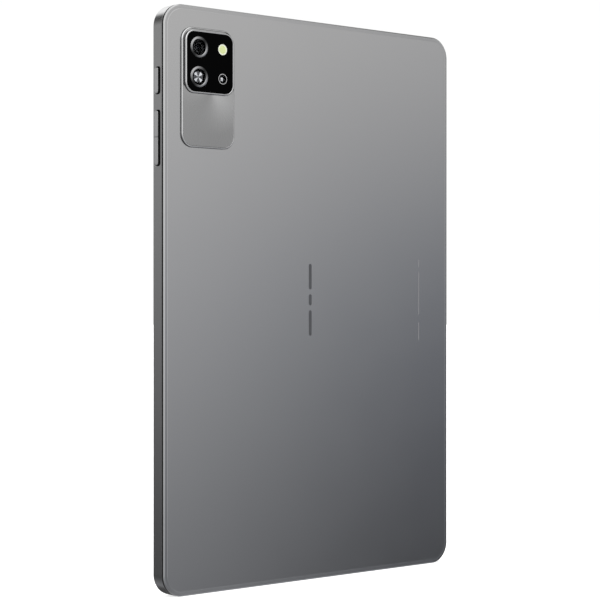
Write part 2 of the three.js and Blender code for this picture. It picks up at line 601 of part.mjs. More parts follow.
part('light_sensor', join(
  squareBlock(SMALL_X, LOWER_Z, SENSOR.size, SMALL_MODULE.y0, SMALL_MODULE.y1),
  extrude(
    circle(SENSOR.snoutR, SMALL_X, LOWER_Z),
    'y', SMALL_MODULE.y1 - 0.1, SMALL_MODULE.tip, FINE)), blackPlastic);

// ---------------------------------------------------------------- keys, switches and their flex

const KEY_TOP = SIDE + KEY_PROUD;
const POWER_FLANGE = SIDE - WALL - 0.1;
const VOLUME_FLANGE = SIDE - WALL - 0.42;
const NUB_X = SWITCH.x1 + 0.6;

// A key: its cap in the slot, a flange with wings behind the wall, and nubs that reach in from the flange.
function key(length, z, flange, nubs) {
  const cap = extrudeOneEdge(
    roundedRect(KEY_WIDTH, length, KEY_R, KEY_Y, z), 'x', flange - 0.2, KEY_TOP,
    { segments: 4, edge: KEY_EDGE });
  const wings = box(
    flange - WING_THICK, flange, KEY_Y - KEY_WIDTH / 2, KEY_Y + KEY_WIDTH / 2 + KEY_GROOVE,
    z - length / 2 - WING, z + length / 2 + WING);
  const tips = nubs.map(([at, reach]) => extrude(
    circle(NUB_R, KEY_Y, at), 'x', reach, flange - WING_THICK + 0.05));
  return join(cap, wings, ...tips);
}

part('power_button', key(POWER_LENGTH, POWER_Z, POWER_FLANGE, [[POWER_Z, NUB_X]]), anodised);
part('volume_rocker', cut(
  key(VOLUME_LENGTH, VOLUME_Z, VOLUME_FLANGE, [
    [VOLUME_Z - VOLUME_ARM, NUB_X],
    [VOLUME_Z, FULCRUM_X + 0.1],
    [VOLUME_Z + VOLUME_ARM, NUB_X],
  ]),
  box(
    KEY_TOP - NOTCH_DEPTH, KEY_TOP + BEYOND, KEY_Y - KEY_WIDTH, KEY_Y + KEY_WIDTH,
    VOLUME_Z - NOTCH / 2, VOLUME_Z + NOTCH / 2)), anodised);

const SWITCHES = [
  { name: 'power', z: POWER_Z },
  { name: 'volume_up', z: VOLUME_Z + VOLUME_ARM },
  { name: 'volume_down', z: VOLUME_Z - VOLUME_ARM },
];
for (const { name, z } of SWITCHES) {
  part(`${name}_switch`, cut(
    box(
      SWITCH.x0, SWITCH.x1, KEY_Y - SWITCH.width / 2, KEY_Y + SWITCH.width / 2,
      z - SWITCH.height / 2, z + SWITCH.height / 2),
    extrude(circle(SWITCH.wellR, KEY_Y, z), 'x', SWITCH.well, SWITCH.x1 + BEYOND)), steel);
  part(`${name}_plunger`, extrude(
    circle(PLUNGER_R, KEY_Y, z), 'x', SWITCH.well + 0.5, SWITCH.x1 + 0.5), blackPlastic);
}

const FLEX_HOLE = FULCRUM_HALF + 0.3; // half the hole that lets the fulcrum's pillar through
part('side_key_flex', cut(
  join(
    box(KEY_FLEX.x0, KEY_FLEX.x1, KEY_FLEX.y0, KEY_FLEX.y1, KEY_FLEX.z0, KEY_FLEX.z1),
    box(KEY_FLEX_TAIL.x0, KEY_FLEX.x1, KEY_FLEX_TAIL.y0, KEY_FLEX.y1, KEY_FLEX_TAIL.z0, KEY_FLEX_TAIL.z1)),
  box(
    KEY_FLEX.x0 - 0.3, KEY_FLEX.x1 + 0.3, KEY_Y - FLEX_HOLE, KEY_Y + FLEX_HOLE,
    VOLUME_Z - FLEX_HOLE, VOLUME_Z + FLEX_HOLE)), polyimide);

// ---------------------------------------------------------------- card tray and its connector

const cardWindow = (x) => box(
  x, x + CARD_LENGTH, 0, 3, TRAY_Z - TRAY_WIDTH / 2 + TRAY_WALL, TRAY_Z + TRAY_WIDTH / 2 - TRAY_WALL);

part('sim_tray', cut(
  join(
    extrude(
      capsule(TRAY_CAP_WIDTH, TRAY_CAP_LENGTH, TRAY_Y, TRAY_Z), 'x', TRAY_TOP, TRAY_TOP + TRAY_CAP_DEPTH, FINE),
    box(
      TRAY_TOP + TRAY_CAP_DEPTH - 0.2, TRAY_END, TRAY_BODY.y0, TRAY_BODY.y1,
      TRAY_Z - TRAY_WIDTH / 2, TRAY_Z + TRAY_WIDTH / 2)),
  ...CARD_X.map(cardWindow),
  extrude(circle(PIN_R, PIN.y, PIN.z), 'x', TRAY_TOP - BEYOND, TRAY_TOP + 2)), anodised);

part('card_connector', cut(
  box(
    CARD_SHELL.x0, CARD_SHELL.x1, CARD_SHELL.y0, CARD_SHELL.y1,
    TRAY_Z - CARD_SHELL.half, TRAY_Z + CARD_SHELL.half),
  box(
    CARD_SHELL.x0 - BEYOND, CARD_BORE.end, CARD_BORE.y0, CARD_BORE.y1,
    TRAY_Z - TRAY_WIDTH / 2 - 0.3, TRAY_Z + TRAY_WIDTH / 2 + 0.3)), steel);

// ---------------------------------------------------------------- boards

const screwHoles = (under) => SCREWS.filter((screw) => screw.under === under)
  .map(({ x, z }) => extrude(circle(PILOT_R + 0.05, x, z), 'y', under - BEYOND, under + BOARD_THICK + BEYOND));

part('main_board', cut(
  box(MAIN_BOARD.x0, MAIN_BOARD.x1, MAIN_BOARD_Y, MAIN_BOARD_Y + BOARD_THICK, MAIN_BOARD.z0, MAIN_BOARD.z1),
  box(
    MAIN_BOARD.x0 - BEYOND, CARD_SHELL.x1 + 0.3, 0, 3,
    TRAY_Z - CARD_SHELL.half - 0.3, TRAY_Z + CARD_SHELL.half + 0.3),
  ...screwHoles(MAIN_BOARD_Y)), boardMask);

// A pressed can, open towards the board.
function shield({ x0, x1, z0, z1 }) {
  const y = MAIN_BOARD_Y + BOARD_THICK + 0.04;
  return cut(
    box(x0, x1, y, CAN_Y, z0, z1),
    box(x0 + CAN_SHEET, x1 - CAN_SHEET, y - BEYOND, CAN_Y - CAN_SHEET, z0 + CAN_SHEET, z1 - CAN_SHEET));
}

part('processor_shield', shield(PROCESSOR_CAN), steel);
part('radio_shield', shield(RADIO_CAN), steel);
part('processor', box(
  PROCESSOR.x0, PROCESSOR.x1, PROCESSOR.y0, PROCESSOR.y1, PROCESSOR.z0, PROCESSOR.z1), chip);

part('usb_board', cut(
  box(
    -USB_BOARD.half, USB_BOARD.half, USB_BOARD_Y, USB_BOARD_Y + BOARD_THICK, USB_BOARD.z0, USB_BOARD.z1),
  ...screwHoles(USB_BOARD_Y)), boardMask);

const socketOutline = capsule(SOCKET_WIDTH, SOCKET_THICK, 0, BAND_Y);
part('usb_c_shell', cut(
  extrude(socketOutline, 'z', SOCKET.z0, SOCKET.z1, FINE),
  extrude(
    capsule(SOCKET_WIDTH - 2 * SOCKET_WALL, SOCKET_THICK - 2 * SOCKET_WALL, 0, BAND_Y),
    'z', -BEYOND, SOCKET.bore, FINE)), steel);
part('usb_c_tongue', box(
  -TONGUE.half, TONGUE.half, BAND_Y - TONGUE.halfThick, BAND_Y + TONGUE.halfThick, TONGUE.z0, TONGUE.z1),
blackPlastic);
part('bottom_microphone', box(MIC_X - MIC.half, MIC_X + MIC.half, MIC.y0, MIC.y1, MIC.z0, MIC.z1), steel);

for (const { name, x, z, under } of SCREWS) {
  const top = under + BOARD_THICK + 0.03;
  part(name, join(
    extrude(circle(SCREW.headR, x, z), 'y', top, top + SCREW.headTall, FINE),
    extrude(circle(SCREW.shankR, x, z), 'y', PLATE_FRONT_Y + 0.35, top + 0.1)), steel);
}

// From the small board, over the battery, down to the main board.
const MAIN_FLEX_LINE = [[2.3, 18], [2.3, 24.2], [3, 27.5], [3, 203.5], [1.4, 209.8], [1.4, 213]];
part('main_flex', extrude(
  ribbon(MAIN_FLEX_LINE, MAIN_FLEX.thick), 'x', -MAIN_FLEX.half, MAIN_FLEX.half), polyimide);

// ---------------------------------------------------------------- battery

for (const [name, side] of [['left', -1], ['right', 1]]) {
  const x = (side * (CELL.inner + CELL.outer)) / 2;
  const outline = roundedRect(
    CELL.outer - CELL.inner, CELL.z1 - CELL.z0, CELL.r, x, (CELL.z0 + CELL.z1) / 2);
  part(`battery_cell_${name}`, extrude(outline, 'y', CELL.y0, CELL.y1, { edge: CELL.edge }), pouch);
}
part('battery_board', box(
  -BATTERY_BOARD.half, BATTERY_BOARD.half, BATTERY_BOARD.y0, BATTERY_BOARD.y1,
  BATTERY_BOARD.z0, BATTERY_BOARD.z1), boardMask);

// ---------------------------------------------------------------- speakers

for (const { name, x, top } of SPEAKERS) {
  const wall = top
    ? [HEIGHT - WALL - MESH.far, HEIGHT - WALL - MESH.near]
    : [WALL + MESH.near, WALL + MESH.far];
  part(`speaker_mesh_${name}`, box(
    x - MESH.half, x + MESH.half, BAND_Y - MESH.below, BAND_Y + MESH.above, ...wall), blackPlastic);
  const [from, to] = top ? SPEAKER_Z.top : SPEAKER_Z.bottom;
  const middle = (from + to) / 2;
  const outline = roundedRect(SPEAKER.width, to - from, SPEAKER.r, x, middle);
  const mouth = capsule(SPEAKER.mouth, to - from - 2 * SPEAKER.margin, x, middle);
  part(`speaker_${name}`, cut(
    extrude(outline, 'y', SPEAKER.y0, SPEAKER.y1),
    extrude(mouth, 'y', SPEAKER.mouthY, SPEAKER.y1 + BEYOND)), blackPlastic);
}

// ---------------------------------------------------------------- the origin, below the middle of the box

const tablet = new THREE.Group();
body.position.set(-KEY_PROUD / 2, -(SCREEN_Y + LENS_Y) / 2, 0);
tablet.add(body);

export default tablet;
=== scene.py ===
import json
import math
import random
from types import SimpleNamespace

import bmesh
import bpy
from mathutils import Matrix, Vector


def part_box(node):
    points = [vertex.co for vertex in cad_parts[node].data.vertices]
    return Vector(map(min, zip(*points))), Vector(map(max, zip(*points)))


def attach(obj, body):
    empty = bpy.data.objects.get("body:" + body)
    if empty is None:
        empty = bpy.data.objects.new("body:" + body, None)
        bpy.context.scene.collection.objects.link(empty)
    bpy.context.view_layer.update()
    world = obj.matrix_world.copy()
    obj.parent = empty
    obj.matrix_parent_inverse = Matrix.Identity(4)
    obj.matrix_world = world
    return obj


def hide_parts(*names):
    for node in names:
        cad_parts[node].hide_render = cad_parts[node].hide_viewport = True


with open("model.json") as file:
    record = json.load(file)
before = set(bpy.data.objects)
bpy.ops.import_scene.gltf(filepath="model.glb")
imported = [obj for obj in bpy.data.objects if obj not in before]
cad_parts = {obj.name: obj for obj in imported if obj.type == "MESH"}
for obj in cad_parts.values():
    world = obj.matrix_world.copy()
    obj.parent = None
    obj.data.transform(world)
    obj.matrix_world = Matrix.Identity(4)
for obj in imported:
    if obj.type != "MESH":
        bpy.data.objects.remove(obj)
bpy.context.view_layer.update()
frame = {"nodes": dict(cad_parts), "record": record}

# Geometry is worked out in millimetres, in the row frame: X across, Y from the screen to the back, Z up.
MM = 0.001
CHASSIS = "chassis"
SMOOTH_ANGLE = math.radians(28)


# ---------------- places, from the frame

def span(node):
    """A CAD node's corners, middle and size in millimetres, and its centre in the plane of the back."""
    low, high = (Vector(corner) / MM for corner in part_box(node))
    middle = (low + high) / 2
    return SimpleNamespace(low=low, high=high, middle=middle, size=high - low, centre=(middle.x, middle.z))


BAND = span("mid_frame")
COVER = span("rear_cover")
GLASS = span("cover_glass")
PANEL = span("lcd_cell")
ISLAND = span("camera_island")
WINDOW = span("camera_window")
PLATE = span("deco_plate")
CENTRE = BAND.centre
CORNER_R = 9.8
WALL = 1.8


# ---------------- mesh tools

TO_WORLD = {
    "x": lambda a, b, depth: (depth, a, b),
    "y": lambda a, b, depth: (a, depth, b),
    "z": lambda a, b, depth: (a, b, depth),
}


def outline(width, height, radius, steps):
    """Points of a rounded rectangle about the origin, with `steps` steps to each corner."""
    points = []
    for corner in range(4):
        side_a = 1 if corner in (0, 3) else -1
        side_b = 1 if corner in (0, 1) else -1
        for step in range(steps + 1):
            angle = (corner + step / steps) * math.pi / 2
            a = side_a * (width / 2 - radius) + radius * math.cos(angle)
            b = side_b * (height / 2 - radius) + radius * math.sin(angle)
            points.append((a, b))
    return points


def rings(width, height, radius, profile):
    """Rings of a rounded rectangle drawn in by each inset of a profile of (inset, depth) points."""
    return [(width - 2 * inset, height - 2 * inset, max(radius - inset, 0.02), depth)
            for inset, depth in profile]


def rings_of(place, grow, radius, profile):
    """Rings round a place seen from the back, wider and taller than it by `grow`."""
    return rings(place.size.x + grow, place.size.z + grow, radius, profile)


def arc(inset, depth, radius, start, end, steps=5):
    """Profile points on an arc about (inset, depth), with its angles in degrees."""
    angles = [math.radians(start + (end - start) * i / steps) for i in range(steps + 1)]
    return [(inset + radius * math.cos(a), depth + radius * math.sin(a)) for a in angles]


def loft(sections, axis, centre, steps=16, closed=False, shades=None):
    """A skin through rings of (width, height, radius, depth). A closed loft joins its last ring to its first,
    and an open one has flat ends. shades gives each stretch between two rings its material's number."""
    bm = bmesh.new()
    loops = [[bm.verts.new(TO_WORLD[axis](centre[0] + a, centre[1] + b, depth))
              for a, b in outline(width, height, radius, steps)]
             for width, height, radius, depth in sections]
    pairs = list(zip(loops, loops[1:] + loops[:1] if closed else loops[1:]))
    for number, (one, two) in enumerate(pairs):
        for i in range(len(one)):
            j = (i + 1) % len(one)
            face = bm.faces.new((one[i], one[j], two[j], two[i]))
            face.material_index = shades[number] if shades else 0
    if not closed:
        bm.faces.new(loops[0])
        bm.faces.new(loops[-1])
    tidy(bm)
    return bm


def tidy(bm):
    """Joins doubled points and turns every face outward."""
    bmesh.ops.remove_doubles(bm, verts=bm.verts, dist=1e-5)
    bmesh.ops.dissolve_degenerate(bm, edges=bm.edges, dist=1e-6)
    bmesh.ops.recalc_face_normals(bm, faces=bm.faces)


def block(x0, x1, y0, y1, z0, z1, edge=0.0, shade=0):
    """A box, with its edges cut back by `edge` in two steps."""
    bm = bmesh.new()
    bmesh.ops.create_cube(bm, size=1)
    for vert in bm.verts:
        vert.co = Vector((
            x0 if vert.co.x < 0 else x1,
            y0 if vert.co.y < 0 else y1,
            z0 if vert.co.z < 0 else z1))
    if edge:
        bmesh.ops.bevel(bm, geom=bm.edges[:], offset=edge, segments=2, affect="EDGES", profile=0.5)
    for face in bm.faces:
        face.material_index = shade
    return bm


def turned(profile, axis, centre, steps=64, closed=False, shades=None):
    """A turned piece: a profile of (radius, depth) points about an axis."""
    sections = [(2 * radius, 2 * radius, radius, depth) for radius, depth in profile]
    return loft(sections, axis, centre, steps // 4, closed, shades)


def as_object(name, bm, materials=()):
    """An object in metres from a bmesh in millimetres."""
    mesh = bpy.data.meshes.new(name)
    bm.transform(Matrix.Scale(MM, 4))
    bm.to_mesh(mesh)
    bm.free()
    obj = bpy.data.objects.new(name, mesh)
    bpy.context.scene.collection.objects.link(obj)
    for material in materials:
        mesh.materials.append(material)
    return obj


def merged(*parts):
    """Several bmeshes as one."""
    whole = bmesh.new()
    for bm in parts:
        mesh = bpy.data.meshes.new("part")
        bm.to_mesh(mesh)
        bm.free()
        whole.from_mesh(mesh)
        bpy.data.meshes.remove(mesh)
    return whole


def combine(obj, operation, tools):
    """Cuts each tool out of obj, or joins it on. A tool's cut faces keep the tool's own materials."""
    for bm in tools:
        tool = as_object("tool", bm)
        change = obj.modifiers.new("combine", "BOOLEAN")
        change.operation = operation
        change.solver = "EXACT"
        change.object = tool
        shape = bpy.data.meshes.new_from_object(obj.evaluated_get(bpy.context.evaluated_depsgraph_get()))
        obj.modifiers.clear()
        old = obj.data
        obj.data = shape
        bpy.data.meshes.remove(old)
        tool_mesh = tool.data
        bpy.data.objects.remove(tool)
        bpy.data.meshes.remove(tool_mesh)


def cut(obj, *tools):
    combine(obj, "DIFFERENCE", tools)


def join(obj, *tools):
    combine(obj, "UNION", tools)


def smooth(obj):
    """Smooth shading that keeps the flats flat and breaks at sharp edges."""
    obj.data.shade_smooth()
    obj.data.set_sharp_from_angle(angle=SMOOTH_ANGLE)


def finished(obj, replaces=(), body=CHASSIS):
    """Shades a piece and lets it ride on a CAD body in place of the nodes it replaces."""
    obj.data.name = obj.name
    smooth(obj)
    obj.modifiers.new("weighted_normals", "WEIGHTED_NORMAL").keep_sharp = True
    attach(obj, body)
    if replaces:
        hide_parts(*replaces)


def piece(name, bm, materials, replaces=(), body=CHASSIS):
    finished(as_object(name, bm, materials), replaces, body)


# ---------------- materials

def add_node(tree, kind, inputs=(), **settings):
    """A node with its settings, and each input linked to an output or given a value."""
    made = tree.nodes.new("ShaderNode" + kind)
    for key, value in settings.items():
        setattr(made, key, value)
    for key, value in dict(inputs).items():
        if hasattr(value, "is_linked"):
            tree.links.new(value, made.inputs[key])
        else:
            made.inputs[key].default_value = value
    return made


class Nodes:
    """A material's node tree, with short calls for the nodes used here. Lengths are in metres."""

    def __init__(self, name, color, roughness, metallic=0.0, **sockets):
        self.material = bpy.data.materials.new(name)
        self.material.use_nodes = True
        self.tree = self.material.node_tree
        self.shader = self.tree.nodes["Principled BSDF"]
        self.shader.inputs["Base Color"].default_value = (*color, 1)
        self.shader.inputs["Roughness"].default_value = roughness
        self.shader.inputs["Metallic"].default_value = metallic
        for socket, value in sockets.items():
            self.shader.inputs[socket.replace("_", " ")].default_value = value
        self.place = self.tree.nodes.new("ShaderNodeTexCoord").outputs["Object"]

    def node(self, kind, inputs=(), **settings):
        return add_node(self.tree, kind, inputs, **settings)

    def parts(self):
        """The X, Y and Z of each place on the piece."""
        return self.node("SeparateXYZ", {0: self.place}).outputs

    def stretched(self, scale):
        return self.node("Mapping", {"Vector": self.place, "Scale": scale}).outputs[0]

    def noise(self, grain, detail=2.0, vector=None):
        """Noise with grains of about that size."""
        return self.node("TexNoise", {
            "Vector": vector or self.place, "Scale": 1 / grain, "Detail": detail}).outputs["Fac"]

    def spread(self, value, low, high):
        """Turns 0..1 into low..high."""
        return self.node("MapRange", {"Value": value, "To Min": low, "To Max": high}).outputs[0]

    def math(self, operation, a, b=0.0, c=0.0):
        return self.node("Math", {0: a, 1: b, 2: c}, operation=operation).outputs[0]

    def away(self, value, middle):
        """How far a coordinate in metres is from a middle in millimetres."""
        return self.math("ABSOLUTE", self.math("SUBTRACT", value, middle * MM))

    def mix(self, factor, a, b):
        a, b = (value if hasattr(value, "is_linked") else (*value, 1) for value in (a, b))
        return self.node("Mix", {0: factor, 6: a, 7: b}, data_type="RGBA").outputs[2]

    def set(self, socket, value):
        self.tree.links.new(value, self.shader.inputs[socket])

    def rough(self, value, low, high):
        self.set("Roughness", self.spread(value, low, high))

    def color(self, factor, a, b):
        self.set("Base Color", self.mix(factor, a, b))

    def bump(self, height, distance):
        """Bumps of that height in metres."""
        out = self.node("Bump", {"Height": height, "Distance": distance, "Strength": 1.0})
        self.set("Normal", out.outputs[0])


def anodised(name, color, roughness=0.21):
    """Fine bead-blasted and anodised aluminium."""
    nodes = Nodes(name, color, roughness, 1.0)
    cloud = nodes.noise(0.03, 3.0)
    grain = nodes.noise(0.00016, 2.0)
    nodes.rough(cloud, roughness - 0.02, roughness + 0.02)
    darker = tuple(0.97 * c for c in color)
    nodes.color(grain, darker, color)
    nodes.bump(grain, 0.0000012)
    return nodes.material


def polished(name, color, roughness=0.14):
    """A diamond-cut edge with fine tool lines along it."""
    nodes = Nodes(name, color, roughness, 1.0)
    lines = nodes.noise(0.00008, 1.0)
    nodes.rough(lines, roughness - 0.03, roughness + 0.04)
    return nodes.material


def plain(name, color, roughness, metallic=0.0, grain=0.0002, height=0.000002, **sockets):
    """A moulded or pressed surface with a slight grain."""
    nodes = Nodes(name, color, roughness, metallic, **sockets)
    noise = nodes.noise(grain, 2.0)
    nodes.rough(noise, max(roughness - 0.04, 0.0), roughness + 0.04)
    nodes.color(noise, tuple(0.9 * c for c in color), color)
    nodes.bump(noise, height)
    return nodes.material


def radial_brushed_painted_sheen(name, color, centre, roughness=0.28, fade=(0.003, 0.02), sheen_tones=(0.72, 1.2)):
    """Metal brushed round one point in the plane of the back. Its colour carries a painted sheen that fans
    out from that point in two bright lobes, and a painted darker tone away from it.
    """
    nodes = Nodes(name, color, roughness, 1.0, Anisotropic=0.75)
    shift = nodes.node("VectorMath", {0: nodes.place, 1: Vector(centre) * MM}, operation="SUBTRACT")
    part = nodes.node("SeparateXYZ", {0: shift.outputs[0]}).outputs
    angle = nodes.math("ARCTAN2", part["X"], part["Z"])
    spokes = nodes.node("CombineXYZ", {"X": angle})
    lines = nodes.noise(0.012, 4.0, spokes.outputs[0])
    nodes.rough(lines, roughness - 0.05, roughness + 0.05)
    nodes.bump(lines, 0.000002)
    # Painted sheen: two bright lobes by angle, fading to the dark tone with distance from the point.
    turn = nodes.math("SINE", nodes.math("MULTIPLY", angle, 2.0))
    distance = nodes.node("VectorMath", {0: shift.outputs[0]}, operation="LENGTH").outputs["Value"]
    sheen_falloff = nodes.node("MapRange", {
        "Value": distance, "From Min": fade[0], "From Max": fade[1], "To Min": 1.0, "To Max": 0.0}).outputs[0]
    painted_sheen = nodes.math("MULTIPLY", nodes.math("MULTIPLY_ADD", turn, 0.5, 0.5), sheen_falloff)
    dark, light = (tuple(tone * c for c in color) for tone in sheen_tones)
    nodes.color(painted_sheen, dark, light)
    flat = nodes.node("VectorMath", {0: shift.outputs[0], 1: (1, 0, 1)}, operation="MULTIPLY")
    along = nodes.node("VectorMath", {0: flat.outputs[0]}, operation="NORMALIZE")
    nodes.set("Tangent", along.outputs[0])
    return nodes.material


def stripes(nodes, along, pitch, share):
    """1 on thin lines a pitch apart across one coordinate, and 0 between them."""
    return nodes.math("LESS_THAN", nodes.math("FRACT", nodes.math("DIVIDE", along, pitch)), share)


INK_OVERLAP = 1.6  # how far the printed border covers the panel's edge
TAPE_WIDTH = 9
# The pitches of fine patterns, in metres as the nodes take them.
PIXEL_PITCH = 0.00012
FILM_PITCH = 0.0006
TRACK_PITCH = 0.0005
THREAD_PITCH = 0.00024


def screen_material():
    """Cover glass over a printed border and a dark display, with faint smears."""
    nodes = Nodes("screen_glass", (0.004, 0.004, 0.005), 0.03)
    part = nodes.parts()
    inside = []
    for axis, middle, size in (("X", PANEL.middle.x, PANEL.size.x), ("Z", PANEL.middle.z, PANEL.size.z)):
        inside.append(nodes.math("LESS_THAN", nodes.away(part[axis], middle), (size / 2 - INK_OVERLAP) * MM))
    grid = nodes.math("MAXIMUM", *(stripes(nodes, part[axis], PIXEL_PITCH, 0.2) for axis in ("X", "Z")))
    display = nodes.mix(grid, (0.0085, 0.009, 0.0115), (0.006, 0.0062, 0.008))
    nodes.color(nodes.math("MULTIPLY", *inside), (0.0022, 0.0022, 0.0024), display)
    smears = nodes.noise(0.03, 4.0, nodes.stretched((1, 1, 2.5)))
    nodes.rough(smears, 0.015, 0.06)
    return nodes.material


def film_with_tracks(name, axis):
    """Flexible film with copper tracks that show through it."""
    color, track = (0.42, 0.2, 0.05), (0.58, 0.3, 0.09)
    nodes = Nodes(name, color, 0.42)
    part = nodes.parts()
    wander = nodes.math("MULTIPLY", nodes.noise(0.02, 0.0), 0.002)
    lines = stripes(nodes, nodes.math("ADD", part[axis], wander), FILM_PITCH, 0.45)
    nodes.color(lines, color, track)
    nodes.rough(lines, 0.45, 0.3)
    nodes.bump(lines, 0.00001)
    return nodes.material


def board_material(name, mask, track):
    """A circuit board: cells of tracks that run up or across under the solder mask, and plated holes."""
    nodes = Nodes(name, mask, 0.4)
    part = nodes.parts()
    cells = nodes.node("VectorMath", {0: nodes.place, 1: (0.004, 1, 0.003)}, operation="SNAP")
    pick = nodes.node("TexWhiteNoise", {"Vector": cells.outputs[0]}).outputs["Value"]
    runs = [nodes.math("MULTIPLY", stripes(nodes, part[axis], TRACK_PITCH, 0.4),
                       nodes.math(test, pick, limit))
            for axis, test, limit in (("X", "LESS_THAN", 0.4), ("Z", "GREATER_THAN", 0.65))]
    tracks = nodes.math("MAXIMUM", *runs)
    spots = nodes.node("TexVoronoi", {"Vector": nodes.place, "Scale": 420.0}).outputs["Distance"]
    holes = nodes.math("LESS_THAN", spots, 0.12)
    nodes.color(holes, nodes.mix(tracks, mask, track), (0.75, 0.6, 0.3))
    nodes.rough(tracks, 0.42, 0.3)
    nodes.bump(tracks, 0.00002)
    return nodes.material


def pouch_material():
    """A battery cell's film: soft dents, fine creases and a strip of black tape across each end."""
    nodes = Nodes("battery_film", (0.13, 0.135, 0.145), 0.38, 0.35)
    cell = span("battery_cell_left")
    part = nodes.parts()
    inner_edge = (cell.size.z / 2 - TAPE_WIDTH) * MM
    tape = nodes.math("GREATER_THAN", nodes.away(part["Z"], cell.middle.z), inner_edge)
    grain = nodes.noise(0.0004, 3.0)
    film = nodes.mix(grain, (0.115, 0.12, 0.13), (0.16, 0.165, 0.175))
    nodes.color(tape, film, (0.012, 0.012, 0.013))
    nodes.rough(tape, 0.36, 0.55)
    dents = nodes.noise(0.018, 4.0)
    nodes.bump(nodes.math("ADD", dents, nodes.math("MULTIPLY", grain, 0.03)), 0.00012)
    return nodes.material


def woven_material():
    """Fine black mesh: threads that pass over and under one another."""
    nodes = Nodes("speaker_weave", (0.03, 0.03, 0.03), 0.6)
    part = nodes.parts()
    waves = [nodes.math("SINE", nodes.math("MULTIPLY", part[axis], 2 * math.pi / THREAD_PITCH))
             for axis in ("X", "Y")]
    weave = nodes.spread(nodes.math("MULTIPLY", *waves), 0.5, 1.0)
    gaps = nodes.math("GREATER_THAN", weave, 0.62)
    nodes.color(gaps, (0.004, 0.004, 0.004), (0.05, 0.05, 0.052))
    nodes.bump(weave, 0.00005)
    return nodes.material


def pressed_steel(name, color):
    """Thin rolled sheet: long rolling lines and slight dents."""
    nodes = Nodes(name, color, 0.3, 1.0)
    rolled = nodes.noise(0.0003, 2.0, nodes.stretched((0.06, 1, 1)))
    dents = nodes.noise(0.007, 2.0)
    nodes.rough(rolled, 0.22, 0.4)
    nodes.color(rolled, tuple(0.86 * c for c in color), color)
    nodes.bump(nodes.math("ADD", dents, nodes.math("MULTIPLY", rolled, 0.05)), 0.00004)
    return nodes.material


BODY_GREY = (0.515, 0.515, 0.518)
metal = anodised("anodised_grey", BODY_GREY)
edge_metal = polished("diamond_cut_edge", (0.64, 0.643, 0.646))
key_metal = anodised("key_metal", (0.78, 0.78, 0.785), 0.25)
seam_rubber = plain("seam_rubber", (0.008, 0.008, 0.0085), 0.7, Specular_IOR_Level=0.2)
island_metal = polished("island_metal", (0.78, 0.785, 0.79), 0.16)
window_black = plain("window_black", (0.001, 0.001, 0.0011), 0.08, height=0.0, Specular_IOR_Level=0.012)
ring_metal = polished("ring_metal", (0.12, 0.121, 0.124), 0.18)
bright_ring = polished("bright_ring", (0.85, 0.85, 0.855), 0.2)
mask_black = plain("mask_black", (0.002, 0.002, 0.0022), 0.4, Specular_IOR_Level=0.06)
dark_plastic = plain("dark_plastic", (0.02, 0.02, 0.021), 0.45)
machined = anodised("machined_aluminium", (0.62, 0.625, 0.63), 0.4)
# Near-black painted shade for slot walls, the seam's step, the cover's rim and the keys' flanks and wings.
painted_shade_dark = plain("painted_shade_dark", (0.012, 0.012, 0.012), 0.7, Specular_IOR_Level=0.2)
coated_glass = plain("coated_glass", (0.002, 0.0022, 0.004), 0.04, height=0.0, Specular_IOR_Level=0.35)
clear_glass = Nodes("clear_glass", (0.97, 0.98, 1.0), 0.02, Transmission_Weight=1.0, IOR=1.04).material
flash_yellow = plain("flash_yellow", (0.60, 0.66, 0.33), 0.25)
flash_edge = plain("flash_edge", (0.72, 0.74, 0.62), 0.3)
faint_trim = plain("faint_trim", (0.035, 0.035, 0.036), 0.4)
# Dark metal for painted shade in the groove round the window's frame.
groove_painted_shade = anodised("groove_painted_shade", (0.16, 0.16, 0.163), 0.4)
print_dark = plain("print_dark", (0.06, 0.062, 0.068), 0.45)
print_faint = plain("print_faint", (0.2, 0.2, 0.21), 0.5)
can_steel = pressed_steel("can_steel", (0.66, 0.67, 0.68))
screen = screen_material()
flex_across = film_with_tracks("flex_film_across", "Z")
flex_upright = film_with_tracks("flex_film_upright", "X")
green_board = board_material("green_board", (0.02, 0.1, 0.045), (0.05, 0.2, 0.09))
battery_film = pouch_material()
speaker_weave = woven_material()
backlight_white = plain("backlight_white", (0.82, 0.82, 0.8), 0.35, grain=0.0012, height=0.00001)
panel_dark = plain("panel_dark", (0.012, 0.012, 0.016), 0.12, grain=0.0001)
foam_black = plain("foam_black", (0.014, 0.014, 0.014), 0.85, grain=0.00012, height=0.00003)
chip_black = plain("chip_black", (0.025, 0.025, 0.027), 0.5, grain=0.00009, height=0.000006)
capacitor_tan = plain("capacitor_tan", (0.42, 0.29, 0.16), 0.45, grain=0.00008)
gold = plain("gold", (0.9, 0.65, 0.25), 0.25, 1.0)
# The brushed plate's colour carries a painted sheen below the window and painted shade further down.
plate_metal = radial_brushed_painted_sheen("plate_metal", (0.55, 0.55, 0.55), (ISLAND.middle.x - 2, 0, WINDOW.low.z + 1))


# ---------------- frame

